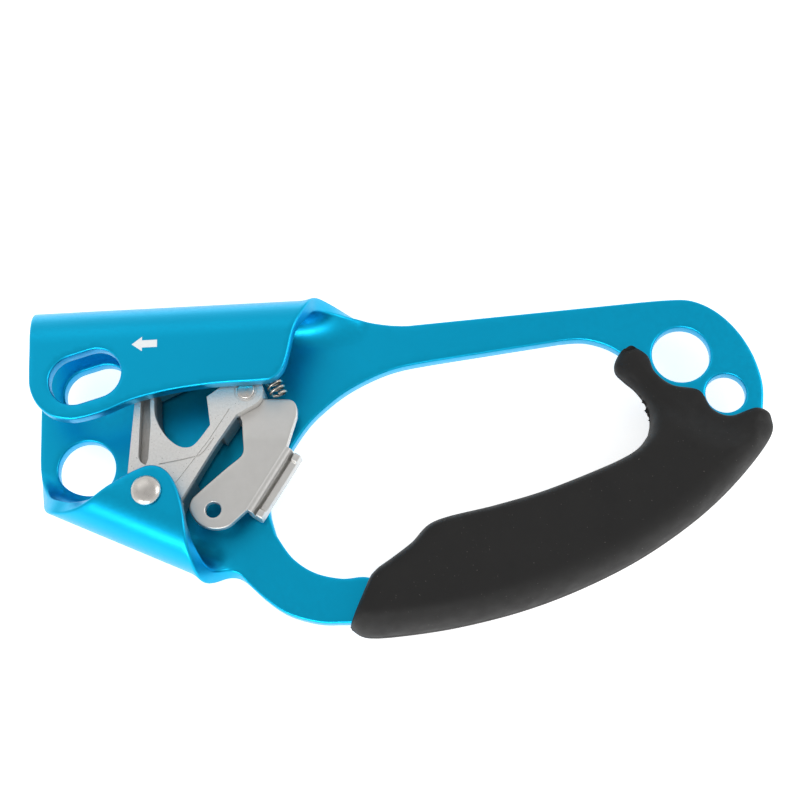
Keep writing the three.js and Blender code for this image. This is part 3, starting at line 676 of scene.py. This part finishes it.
def distance_field(line, closed=True):
    """A function from points to their distances from a line of straight steps."""
    line = np.asarray(line, float)
    start = line if closed else line[:-1]
    step = (np.roll(line, -1, axis=0) if closed else line[1:]) - start
    length_squared = np.maximum((step**2).sum(axis=1), 1e-12)

    def measure(points):
        result = []
        for part in np.array_split(np.asarray(points, float), 1 + len(points) // 400):
            away = part[:, None] - start
            along = np.clip((away * step).sum(axis=2) / length_squared, 0, 1)
            result.append(np.linalg.norm(away - along[..., None] * step, axis=2).min(axis=1))
        return np.concatenate(result)

    return measure


# Rows inside a rim keep this share of their depth clear of every edge, less a weld's width.
ROW_CLEAR, WELD = 0.96, 0.005
# A grid of near-equal triangles: the height of its rows and its room to the rows, in grid gaps.
ROW_PITCH, GRID_CLEAR = 0.87, 0.45


def flat_skin(outlines, rim_gap, grid_gap, depths):
    """Triangles over a flat outline with holes, with rows of points at given depths inside the rim.

    Returns the points, the triangles, the border's sides and each point's depth.
    """
    loops = [spread(loop, rim_gap) for loop in outlines]
    outer, holes = loops[0], loops[1:]
    rim = np.vstack(loops)
    fields = [distance_field(loop) for loop in loops]

    def edge_distance(points):
        return np.min([field(points) for field in fields], axis=0)

    def in_sheet(points):
        kept = inside(points, outer)
        for hole in holes:
            kept &= ~inside(points, hole)
        return kept

    layers = [rim]
    for depth in depths:
        for k, loop in enumerate(loops):
            moved = inset(loop, depth, (signed_area(loop) > 0) == (k == 0))
            layers.append(moved[edge_distance(moved) > depth * ROW_CLEAR - WELD])
    low, high = rim.min(axis=0), rim.max(axis=0)
    xs = np.arange(low[0], high[0], grid_gap)
    ys = np.arange(low[1], high[1], grid_gap * ROW_PITCH)
    grid = np.array([(x + (j % 2) * grid_gap / 2, y) for j, y in enumerate(ys) for x in xs])
    grid = grid[in_sheet(grid)]
    layers.append(grid[edge_distance(grid) > depths[-1] + grid_gap * GRID_CLEAR])

    edges, start = [], 0
    for loop in loops:
        count = len(loop)
        edges += [(start + i, start + (i + 1) % count) for i in range(count)]
        start += count
    verts, _, faces, *_ = delaunay_2d_cdt([Vector(p) for p in np.vstack(layers)], edges, [], 0, 1e-5)
    flat = np.array([tuple(v) for v in verts])
    centres = np.array([flat[list(face)].mean(axis=0) for face in faces])
    faces = [face for face, kept in zip(faces, in_sheet(centres)) if kept]
    used = sorted({i for face in faces for i in face})
    renumber = {old: new for new, old in enumerate(used)}
    faces = [tuple(renumber[i] for i in face) for face in faces]
    sides = {(a, b) for face in faces for a, b in zip(face, face[1:] + face[:1])}
    border = sorted((a, b) for a, b in sides if (b, a) not in sides)
    flat = flat[used]
    depth = edge_distance(flat)
    depth[sorted({i for edge in border for i in edge})] = 0
    return flat, faces, border, depth


def closed_skin(name, top, bottom, faces, border):
    """A closed mesh from two copies of a flat skin and the wall between their rims."""
    count = len(top)
    skin = list(faces) + [tuple(i + count for i in face[::-1]) for face in faces]
    skin += [(b, a, a + count, b + count) for a, b in border]
    return outward(mesh_object(name, [*top, *bottom], skin))


def rounded_sheet(name, outlines, thickness, edge_r, rim_gap, grid_gap, place):
    """A sheet with holes as one smooth skin with rounded edges.

    outlines is the outer loop and then the holes. place(point, offset) carries a point of the
    flat sheet, offset from its mid-surface, to its place.
    """
    depths = [edge_r * (1 - math.cos(turn * math.pi / 2)) for turn in (0.25, 0.5, 0.75, 1.0)]
    flat, faces, border, depth = flat_skin(outlines, rim_gap, grid_gap, depths)
    into = edge_r - np.minimum(depth, edge_r)
    rounded = thickness / 2 - edge_r + np.sqrt(np.maximum(0, edge_r**2 - into**2))
    top = [place(p, h) for p, h in zip(flat, rounded)]
    bottom = [place(p, -h) for p, h in zip(flat, rounded)]
    return closed_skin(name, top, bottom, faces, border)


def folded_frame():
    outlines = [outer_loop(), window_loop(), *hole_loops()]
    return rounded_sheet("folded_frame", outlines, SHEET, EDGE_R, EDGE_GAP, SHEET_GAP, fold)


finish_piece(folded_frame(), "frame_anodised", "root", "frame")

# ---------------------------------------------------------------- printed arrow

ARROW_TIP = np.array((-58.9, 22.9))
ARROW_LONG = 6.4
ARROW_HEAD = 2.6
ARROW_HALF_HEAD = 1.9
ARROW_HALF_SHAFT = 0.95
INK = 0.04


def printed_arrow():
    """A plain arrow that points up the rope: the only print on the channel."""
    outline = [
        (0, 0), (ARROW_HEAD, -ARROW_HALF_HEAD), (ARROW_HEAD, -ARROW_HALF_SHAFT),
        (ARROW_LONG, -ARROW_HALF_SHAFT), (ARROW_LONG, ARROW_HALF_SHAFT), (ARROW_HEAD, ARROW_HALF_SHAFT),
        (ARROW_HEAD, ARROW_HALF_HEAD),
    ]
    loop = [ARROW_TIP + np.array(p) for p in outline]
    arrow = prism("printed_arrow", loop, FLAP_FRONT - INK / 2, FLAP_FRONT + INK)
    arrow.data.materials.append(white_ink())
    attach(arrow, "root")


printed_arrow()

# ---------------------------------------------------------------- grip shells

GRIP_WALL = 1.5
GRIP_FRONT_CROWN = 9.0
GRIP_INNER = [
    (-0.9, -34.2), (3.6, -31.3), (8.6, -27.7), (14.8, -22.4), (29.8, -19.1), (41.8, -16.1),
    (54.8, -11.6), (62.5, -8.4), (66.6, -5.8), (69.2, -2.6), (69.9, -0.8), (70.3, 0.8), (70.4, 2.6),
    (70.2, 4.4), (69.4, 7), (67.2, 10.4), (64.6, 13.0), (62.7, 15.1), (62.5, 17.4),
]
GRIP_OUTER = [
    (-7.1, -47.9), (-3.3, -50.1), (6, -50), (20, -48.4), (36, -45), (51, -40), (66, -33.1),
    (80, -24.2), (91, -14.8), (100, -4.4), (100.8, 0.8), (97.2, 3.3), (90.4, 1.5), (86, 3.6),
    (83.2, 8.6), (76.6, 10.4), (72.5, 14), (71, 18.4), (68.2, 20.8),
]
GRIP_HOOK_END = [(63.7, 19.6), (65.8, 21.0)]
# The outer side laps over the sheet's edge up to this point, then lies on the sheet's face.
LAPPED_POINTS = 10
OUTER_ROUND, PALM_ROUND, FACE_ROUND, END_ROUND = 5.5, 3.4, 1.7, 2.2
HEEL_DIP, HEEL_DIP_WIDTH = 0.55, 12.0
HOOK_FROM_Y, HOOK_TO_Y, HOOK_CROWN = -14.0, 8.0, 0.55
FOOT_BLEND = 1.6
LAND = 0.3
GRIP_STEPS = 24
GRIP_RIM_GAP, GRIP_GRID_GAP = 0.6, 1.3
GRIP_ROWS = [0.06, 0.22, 0.5, 0.9, 1.4, 2.0, 2.8, 3.8, 5.0]
TEARS = 9
TEARS_FROM, TEAR_STEP, TEAR_STRAY = 0.655, 0.018, 0.004
TEAR_SIZES, TEAR_FOOT, TEAR_REACH, TEAR_SLANT = (0.5, 1.3), 0.35, 0.8, 0.5
TEAR_HALF, TEAR_RISE = 0.45, 0.5


def soft_edge(distance, width):
    """A quarter of an ellipse: 0 at the rim, upright there, and 1 from the given width on."""
    return np.sqrt(1 - (1 - np.minimum(distance / width, 1)) ** 2)


def grip_half(name, seam, pocket, crown):
    """One rubber half: a crowned skin over the sheet, its skirt lapping the sheet's edge."""
    outer = spline(GRIP_OUTER, GRIP_STEPS)
    palm = spline([*GRIP_INNER, GRIP_HOOK_END[0]], GRIP_STEPS)
    turn = LAPPED_POINTS * GRIP_STEPS
    lapped, on_face, end = outer[:turn], [*outer[turn:], *GRIP_HOOK_END], [outer[0], palm[0]]
    outline = spline([*GRIP_INNER, *GRIP_HOOK_END, *GRIP_OUTER[::-1]], 10)
    flat, faces, border, depth = flat_skin([outline], GRIP_RIM_GAP, GRIP_GRID_GAP, GRIP_ROWS)

    to_palm, to_lapped, to_face, to_end = (
        distance_field(line, closed=False)(flat) for line in (palm, lapped, on_face, end)
    )
    lift = soft_edge(to_palm, PALM_ROUND) * soft_edge(to_lapped, OUTER_ROUND)
    lift *= soft_edge(to_face, FACE_ROUND) * soft_edge(to_end, END_ROUND)
    lift *= 1 - HEEL_DIP * (1 - np.array([smoothstep(d, 0, HEEL_DIP_WIDTH) for d in to_face]))
    lift[depth == 0] = 0
    lowered = np.array([smoothstep(y, HOOK_FROM_Y, HOOK_TO_Y) for y in flat[:, 1]])
    to_skirt = np.minimum(to_palm, to_lapped)
    nearer_face = to_skirt - np.minimum(to_face, to_end)
    share = np.array([smoothstep(d, -FOOT_BLEND, FOOT_BLEND) for d in nearer_face])
    foot = seam * (1 - share) + pocket * share
    peak = pocket + (crown - pocket) * (1 - lowered * (1 - HOOK_CROWN))
    land = foot + math.copysign(LAND, crown)
    top = land + (peak - land) * lift
    bottom = np.where(to_skirt < GRIP_WALL, foot, pocket)
    return closed_skin(
        name, np.column_stack([flat, top]), np.column_stack([flat, bottom]), faces, border,
    )


def seam_tears():
    """Shreds of flash on the seam where the hook's inside was trimmed."""
    draw = random.Random(7)
    points, faces = [], []
    level = MID + TEAR_RISE
    for i in range(TEARS):
        share = TEARS_FROM + TEAR_STEP * i + draw.uniform(-TEAR_STRAY, TEAR_STRAY)
        inner, outer = spline_at(GRIP_INNER, share), spline_at(GRIP_OUTER, share)
        out = (inner - outer) / np.linalg.norm(inner - outer)
        run = np.array((-out[1], out[0]))
        size = draw.uniform(*TEAR_SIZES)
        foot = inner - out * TEAR_FOOT
        tip = inner + out * size * TEAR_REACH + run * draw.uniform(-TEAR_SLANT, TEAR_SLANT)
        base = len(points)
        for sideways, lift in ((size, 0), (-size, 0), (0, TEAR_HALF), (0, -TEAR_HALF)):
            points.append((*(foot + run * sideways), level + lift))
        points.append((*tip, level + draw.uniform(-0.2, 0.3)))
        for face in ((0, 2, 4), (2, 1, 4), (1, 3, 4), (3, 0, 4), (0, 1, 2), (0, 3, 1)):
            faces.append(tuple(base + k for k in face))
    return outward(mesh_object("grip_seam_flash", points, faces, smooth=False))


finish_piece(grip_half("grip_half_front", MID + PLAY / 2, PLAY, GRIP_FRONT_CROWN),
             "grip_rubber", "root", "grip_front")
finish_piece(grip_half("grip_half_rear", MID - PLAY / 2, -SHEET - PLAY, -SHEET - SHELL_DEPTH),
             "grip_rubber", "root", "grip_rear")
finish_piece(seam_tears(), "grip_rubber", "root")

# ---------------------------------------------------------------- cam

CAM_BORE_R = 3.3
CAM_BOSS_R = 5.6
CAM_HUB_R = 8.0
CATCH_BOSS_R = 4.3
CATCH_PIN_HOLE_R = 1.8
EAR_GROOVE = (2.5, 3.0)
SPRING_POCKET_R, SPRING_POCKET_TOP = 4.9, 4.6
CATCH_ROOM_R = 6.6
HUB_BACK, HUB_FRONT = 2.0, 11.0
# The slope round each end of the hub: how far it runs in and how high it is.
HUB_SLOPE_IN, HUB_SLOPE_HIGH = 1.4, 1.6
RELIEF_TOP = 3.0
MUD_GROOVE_FLOOR = 8.6
SIDE_RIB_BACK = 9.9
FACE_SHOULDER = 2.9
TOOTH_ROOM = 1.9
FACE_RADIUS = 57.0
FACE_FROM = math.radians(53.5)
FACE_START, FACE_END = math.radians(52.3), math.radians(95.5)
FACE_SPIRAL = 0.74
RIB_BACK, RIB_FRONT = 4.0, 9.0
TOOTH_ROWS = 13
TOOTH_R, TOOTH_TIP_R = 0.85, 0.16
# The teeth stand three and two to a row, in turn.
TOOTH_HEIGHTS = ((4.9, 6.5, 8.1), (4.9, 8.1))


def face_point(angle, height):
    radius = FACE_RADIUS * math.exp(-FACE_SPIRAL * (angle - FACE_FROM)) - height
    return PIVOT + radius * np.array((math.cos(angle), math.sin(angle)))


def cam_outline():
    face = [face_point(a, FACE_SHOULDER) for a in np.linspace(FACE_START, FACE_END, 28)]
    return [
        np.array((-20.8, 26.6)), *face, (-59, 9.1), (-60.5, -8.9), *arc(PIVOT, CAM_BOSS_R, 0.95, 1.8),
        (-47.2, -16.5), (-39, -3.4), (-33.4, 4.7), *arc(CATCH_PIVOT, CATCH_BOSS_R, 1.6, 2.25),
        (-30.6, 17.6), (-31.6, 21.3), (-24.4, 24.3),
    ]


def toothed_bed():
    """The narrow bed along the face that the teeth stand on."""
    angles = np.linspace(FACE_START, FACE_END, 30)
    top = [face_point(a, TOOTH_ROOM) for a in angles]
    foot = [face_point(a, FACE_SHOULDER + 3) for a in (FACE_END, (FACE_START + FACE_END) / 2)]
    heel = face_point(FACE_START, FACE_SHOULDER + 1)
    return prism("bed", [*top, *foot, heel], RIB_BACK, RIB_FRONT)


def tooth(angle, height):
    """One conical tooth that leans down the rope."""
    foot, tip = face_point(angle, TOOTH_ROOM + 0.5), face_point(angle + 0.012, 0.05)
    base, point = Vector((*foot, height)), Vector((*tip, height))
    axis = (point - base).normalized()
    side = axis.cross(Vector((0, 0, 1))).normalized()
    other = axis.cross(side)
    sides = 14
    points = []
    rings = ((base, TOOTH_R), (base.lerp(point, 0.45), TOOTH_R * 0.66), (point, TOOTH_TIP_R))
    for centre, radius in rings:
        for k in range(sides):
            a = 2 * math.pi * k / sides
            points.append(tuple(centre + (side * math.cos(a) + other * math.sin(a)) * radius))
    return points, [tuple(range(sides)), tuple(range(2 * sides, 3 * sides)), *walls(3, sides)]


def cam_teeth():
    points, faces = [], []
    for row in range(TOOTH_ROWS):
        angle = FACE_START + (FACE_END - FACE_START) * (row + 0.6) / (TOOTH_ROWS + 0.4)
        for height in TOOTH_HEIGHTS[row % 2]:
            some, more = tooth(angle, height)
            faces += [tuple(len(points) + i for i in face) for face in more]
            points += some
    return outward(mesh_object("cam_teeth", points, faces))


def cam_window():
    curve = spline([
        (-54.1, 9.5), (-53.7, 5), (-51.4, 0.5), (-48.4, -2.4), (-45.7, -3.2), (-43.4, -2.1),
        (-39.9, 2.4),
    ])
    return [(-54.1, 12.5), *curve, (-40.8, 9.8), (-37, 12.4), (-38.5, 19.5)]


def mud_groove():
    corner = quadratic((-57.9, -4.6), (-57.8, -6.6), (-56, -7.2))
    return [(-57.2, 19), *corner, (-55.4, -5.6), (-54.9, 3), (-55.3, 19)]


ENGRAVED_STEP = [(-52.8, -7.2), (-48.1, -6.5), (-42.8, -5.5), (-41.4, -4.4), (-38.9, -1.0)]
STEP_HALF, STEP_DEPTH = 0.16, 0.4
SIDE_LINE = [(-49.6, -13.6), (-40.3, -1.6), (-35.0, 6.4)]
LINE_HALF, LINE_DEPTH = 0.10, 0.3
EAR_GROOVE_DEPTH = 0.35
# The wall under the cam's front rib steps back, and between two blocks it steps back further.
SIDE_RECESS = [(-47.5, -16.4), (-39.3, -3.2), (-33.7, 5.0), (-31.0, 3.0), (-44.0, -19.0)]
SIDE_NOTCH = [(-45.0, -10.4), (-40.6, -3.0), (-38.2, 0.6), (-34.0, -2.2), (-41.2, -13.6)]


def engraved_line(line, half):
    """A narrow strip along a route, to cut a line into the cam's front."""
    route = [np.array(p) for p in line]
    left, right = [], []
    for i, point in enumerate(route):
        ahead = route[min(i + 1, len(route) - 1)] - route[max(i - 1, 0)]
        ahead = ahead / np.linalg.norm(ahead)
        side = np.array((-ahead[1], ahead[0])) * half
        left.append(point + side)
        right.append(point - side)
    return [*left, *right[::-1]]


def ear_groove():
    """A shallow round groove that sets off the ear's ring round the pin's head."""
    (inner, outer), floor, over = EAR_GROOVE, CAM_FRONT - EAR_GROOVE_DEPTH, CAM_FRONT + 1
    profile = [(inner, floor), (outer, floor), (outer, over), (inner, over), (inner, floor)]
    return turned("ear_groove", profile, CATCH_PIVOT)


def cast_cam():
    body = prism("cast_cam", cam_outline(), CAM_BACK, CAM_FRONT)
    corner_r = CAM_HUB_R - HUB_SLOPE_IN
    hub = turned("hub", [
        (0, HUB_BACK), (corner_r, HUB_BACK), (CAM_HUB_R, HUB_BACK + HUB_SLOPE_HIGH),
        (CAM_HUB_R, HUB_FRONT - HUB_SLOPE_HIGH), (corner_r, HUB_FRONT), (0, HUB_FRONT),
    ], PIVOT)
    joined(body, hub, toothed_bed())
    relief = [*arc(PIVOT, CAM_HUB_R + 1, 1.12, 1.66), PIVOT]
    past, over = CAM_BACK - 1, CAM_FRONT + 1
    cut(
        body,
        prism("cutter", cam_window(), past, over),
        prism("cutter", mud_groove(), MUD_GROOVE_FLOOR, over),
        prism("cutter", SIDE_NOTCH, past, SIDE_RIB_BACK),
        prism("cutter", relief, past, RELIEF_TOP),
        prism("cutter", engraved_line(ENGRAVED_STEP, STEP_HALF), CAM_FRONT - STEP_DEPTH, over),
        prism("cutter", engraved_line(SIDE_LINE, LINE_HALF), CAM_FRONT - LINE_DEPTH, over),
        prism("cutter", SIDE_RECESS, past, SIDE_RIB_BACK),
        ear_groove(),
        round_cut(PIVOT, CAM_BORE_R, past, over),
        round_cut(PIVOT, SPRING_POCKET_R, past, SPRING_POCKET_TOP),
        round_cut(CATCH_PIVOT, CATCH_ROOM_R, CATCH_BACK - PLAY, CATCH_FRONT + PLAY),
        round_cut(CATCH_PIVOT, CATCH_PIN_HOLE_R, past, over),
    )
    return edge_round(body, 0.22, 2, 30)


finish_piece(cast_cam(), "cam_cast_steel", "cam_assembly", "cam")
finish_piece(cam_teeth(), "cam_cast_steel", "cam_assembly")

# ---------------------------------------------------------------- safety catch

CATCH_CORD_HOLE, CATCH_CORD_HOLE_R = (-39.7, -18.6), 1.95
THUMB_TOP = np.array((-21.0, -3.4))
THUMB_FOOT = np.array((-31.2, -19.0))
CATCH_CREASE_Y = -0.9
CATCH_LEAN_ABOVE, CATCH_LEAN_BELOW = 0.045, 0.030
CATCH_EDGE_R, CATCH_RIM_GAP, CATCH_GRID_GAP = 0.35, 0.3, 0.8
# The top of the flange's leg, as (distance from its end, height) pairs, and between the ends.
FLANGE_END = [(0, 7.2), (0.35, 7.55), (1.2, 7.65), (2.0, 7.5), (2.4, 6.6)]
FLANGE_LEG_TOP = 6.5


def catch_outline():
    tail = spline([
        (-32, -3.6), (-32.8, -5.4), (-36.5, -8.3), (-43.2, -13.9), (-45.2, -16), (-45.5, -18.6),
        (-43.8, -21.5), (-41, -23.1), (-38.2, -23.4), (-35.8, -22.8), (-33.8, -21.2), (-32.4, -20.0),
    ])
    corner = quadratic((-18.5, 4.4), (-17.8, 9.2), (-21.4, 9.2), 10)
    head = arc(CATCH_PIVOT, CATCH_BOSS_R, -0.1, 1.2, 40)
    return [*head, (-32.4, 3.8), *tail, THUMB_FOOT, THUMB_TOP, *corner]


def flange_section(leg_top):
    """The sheet rolled back behind the catch and up again, as (outward, height) pairs."""
    crest = CATCH_FRONT + 0.02
    return [
        (-0.7, CATCH_FRONT - 0.3), (-0.3, crest), (0.2, crest),
        *quadratic((0.2, crest), (1.6, crest), (1.6, 6.8))[1:],
        (1.8, 5.3), (2.1, 5.3), (2.2, leg_top), (3.9, leg_top), (3.9, 3.2),
        *quadratic((3.9, 3.2), (3.7, 1), (2.0, 1))[1:], *quadratic((2.0, 1), (0, 1), (-0.2, 3))[1:],
        (-0.3, CATCH_BACK + 0.2), (-0.7, CATCH_BACK + 0.4),
    ]


def catch_rise(y):
    """How far the catch's sheet stands forward: most at its crease, and nothing at its pin."""
    rise = (CATCH_PIVOT[1] - max(y, CATCH_CREASE_Y)) * CATCH_LEAN_ABOVE
    return rise - max(0.0, CATCH_CREASE_Y - y) * CATCH_LEAN_BELOW


def creased(point, offset):
    return point[0], point[1], (CATCH_BACK + CATCH_FRONT) / 2 + offset + catch_rise(point[1])


def thumb_flange():
    """A rolled flange whose sheared edge stands a little higher in a block at each end."""
    along = THUMB_FOOT - THUMB_TOP
    length = float(np.linalg.norm(along))
    along = along / length
    across = np.array((-along[1], along[0]))
    from_end = [*FLANGE_END, (length / 2, FLANGE_LEG_TOP)]
    stations = from_end + [(length - run, leg_top) for run, leg_top in FLANGE_END[::-1]]
    points = []
    for run, leg_top in stations:
        base = THUMB_TOP + along * run
        for reach, height in flange_section(leg_top):
            points.append((*(base + across * reach), height + catch_rise(base[1])))
    rings = len(stations)
    sides = len(points) // rings
    faces = [tuple(range(sides)), tuple(range((rings - 1) * sides, rings * sides)), *walls(rings, sides)]
    flange = mesh_object("catch_thumb_flange", points, faces, smooth=False)
    return edge_round(outward(flange), 0.3, 3, 40)


def stamped_catch():
    outlines = [
        catch_outline(), slot_loop(CATCH_CORD_HOLE, 0, CATCH_CORD_HOLE_R, 0),
        slot_loop(CATCH_PIVOT, 0, CATCH_PIN_HOLE_R, 0),
    ]
    return rounded_sheet("stamped_catch", outlines, CATCH_FRONT - CATCH_BACK, CATCH_EDGE_R,
                         CATCH_RIM_GAP, CATCH_GRID_GAP, creased)


finish_piece(stamped_catch(), "catch_stamped_steel", "catch_assembly", "safety_catch")
finish_piece(thumb_flange(), "catch_stamped_steel", "catch_assembly")

# ---------------------------------------------------------------- springs, rivet, pin, bush


def helix(centre, axis, side, radius, pitch, turns, per_turn=28):
    axis, side = Vector(axis).normalized(), Vector(side).normalized()
    third = axis.cross(side)
    steps = round(turns * per_turn)
    route = []
    for i in range(steps + 1):
        a = 2 * math.pi * turns * i / steps
        round_axis = side * math.cos(a) + third * math.sin(a)
        route.append(Vector(centre) + round_axis * radius + axis * pitch * a / (2 * math.pi))
    return route


WIRE_R = 0.36
COIL_FOOT = np.array((-22.9, 10.55, (CATCH_BACK + CATCH_FRONT) / 2))
COIL_AXIS = np.array((-0.38, 0.925, 0))
COIL_R, COIL_PITCH, COIL_TURNS = 1.9, 1.5, 7.2
RETURN_COIL_R, RETURN_PITCH, RETURN_TURNS = 4.1, 1.05, 2.1
RETURN_COIL_Z = 1.75
RETURN_LEG = 5.7
RIVET_DOME_R, RIVET_DOME_HIGH, RIVET_RIM = 3.75, 1.55, 0.15
RIVET_TAIL_R, RIVET_TAIL_END_R, RIVET_TAIL_HIGH = 4.2, 3.4, 1.3
WASHER_R, WASHER_LOW, WASHER_HIGH = 3.9, 0.3, 0.7


def catch_coil():
    route = helix(COIL_FOOT, COIL_AXIS, (0, 0, 1), COIL_R, COIL_PITCH, COIL_TURNS)
    return wire("catch_coil", route, WIRE_R)


def return_coil():
    centre = Vector((*PIVOT, RETURN_COIL_Z))
    side = Vector((*ACROSS, 0))
    tip = centre + side * RETURN_LEG + Vector((-1.4, 0.6, 0))
    turns = helix(centre, (0, 0, 1), side, RETURN_COIL_R, RETURN_PITCH, RETURN_TURNS)
    return wire("return_coil", [tip, tip.lerp(turns[0], 0.5), *turns], WIRE_R)


def rivet():
    shank, head = RIVET_HOLE_R - PLAY, FLAP_FRONT + PLAY
    rear = -SHEET - PLAY
    end, rim = rear - RIVET_TAIL_HIGH, head + RIVET_RIM
    profile = [
        (0, end), (RIVET_TAIL_END_R, end), (RIVET_TAIL_R, rear), (shank, rear), (shank, head),
        (RIVET_DOME_R, head),
    ]
    for a in np.linspace(0, math.pi / 2, 12):
        profile.append((RIVET_DOME_R * math.cos(a), rim + RIVET_DOME_HIGH * math.sin(a)))
    profile[-1] = (0, profile[-1][1])
    return edge_round(turned("rivet", profile, PIVOT), 0.12, 2, 30)


def catch_pin():
    back, front = CAM_BACK - PLAY, CAM_FRONT + 0.2
    profile = [
        (0, 0.4), (2.2, 0.4), (2.2, back), (1.5, back), (1.5, front), (2.2, front),
        (2.15, front + 0.25), (1.95, front + 0.42), (0, front + 0.45),
    ]
    return edge_round(turned("catch_pin", profile, CATCH_PIVOT), 0.08, 2, 30)


def ring_piece(name, inner, outer, low, high):
    profile = [(inner, low), (outer, low), (outer, high), (inner, high), (inner, low)]
    return edge_round(turned(name, profile, PIVOT), 0.1, 2, 30)


coil = finish_piece(catch_coil(), "spring_steel", "cam_assembly", "catch_spring")
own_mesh(coil)
finish_piece(return_coil(), "spring_steel", "root", "cam_return_spring")
finish_piece(rivet(), "rivet_steel", "root", "cam_pivot_rivet")
finish_piece(catch_pin(), "rivet_steel", "cam_assembly", "catch_pivot_pin")
finish_piece(ring_piece("bush", RIVET_HOLE_R + 0.05, CAM_BORE_R - PLAY, PLAY, CHANNEL - PLAY),
             "bush_steel", "root", "cam_pivot_bush")
finish_piece(ring_piece("washer_rear", CAM_BORE_R, WASHER_R, WASHER_LOW, WASHER_HIGH),
             "washer_polymer", "root", "cam_washer_rear")
finish_piece(ring_piece("washer_front", CAM_BORE_R, WASHER_R, CHANNEL - WASHER_HIGH, CHANNEL - WASHER_LOW),
             "washer_polymer", "root", "cam_washer_front")

# ---------------------------------------------------------------- floor and light


FLOOR_HALF = 3.0
FLOOR_Z = -0.0005


def add_floor():
    signs = ((-1, -1), (1, -1), (1, 1), (-1, 1))
    mesh = bpy.data.meshes.new("floor")
    mesh.from_pydata([(x * FLOOR_HALF, y * FLOOR_HALF, FLOOR_Z) for x, y in signs], [], [(0, 1, 2, 3)])
    floor = bpy.data.objects.new("floor", mesh)
    surface = Surface("floor_paper", (0.92, 0.92, 0.92), 0.0, 0.9)
    surface.set("Specular IOR Level", 0.1)
    surface.set("Emission Color", (1, 1, 1, 1))
    surface.set("Emission Strength", 0.62)
    mesh.materials.append(surface.material)
    bpy.context.scene.collection.objects.link(floor)


def add_light(name, at, size, power):
    """A soft box that looks at the middle of the ascender."""
    data = bpy.data.lights.new(name, "AREA")
    data.shape = "RECTANGLE"
    data.size, data.size_y = size
    data.energy = power
    lamp = bpy.data.objects.new(name, data)
    lamp.location = at
    lamp.rotation_euler = (-Vector(at)).to_track_quat("-Z", "Y").to_euler()
    bpy.context.scene.collection.objects.link(lamp)


def add_world(overhead, horizon):
    """A white room whose ceiling is dimmer than its walls."""
    world = bpy.data.worlds.new("studio")
    world.use_nodes = True
    tree = world.node_tree
    direction = tree.nodes.new("ShaderNodeTexCoord")
    split = tree.nodes.new("ShaderNodeSeparateXYZ")
    height = tree.nodes.new("ShaderNodeMapRange")
    ends = {"From Min": 0.25, "From Max": 0.95, "To Min": horizon, "To Max": overhead}
    for name, value in ends.items():
        height.inputs[name].default_value = value
    tree.links.new(direction.outputs["Generated"], split.inputs["Vector"])
    tree.links.new(split.outputs["Z"], height.inputs["Value"])
    tree.links.new(height.outputs["Result"], tree.nodes["Background"].inputs["Strength"])
    tree.nodes["Background"].inputs["Color"].default_value = (1, 1, 1, 1)
    bpy.context.scene.world = world


add_floor()
add_light("key_box", (-0.60, 0.90, 1.30), (1.1, 0.9), 1.4)
add_light("low_box", (-0.35, -0.95, 0.55), (0.9, 0.25), 6.0)
add_light("fill_box", (1.10, 0.20, 0.90), (0.7, 0.7), 4.0)
add_world(0.57, 0.92)
bpy.context.scene.view_settings.view_transform = "Standard"
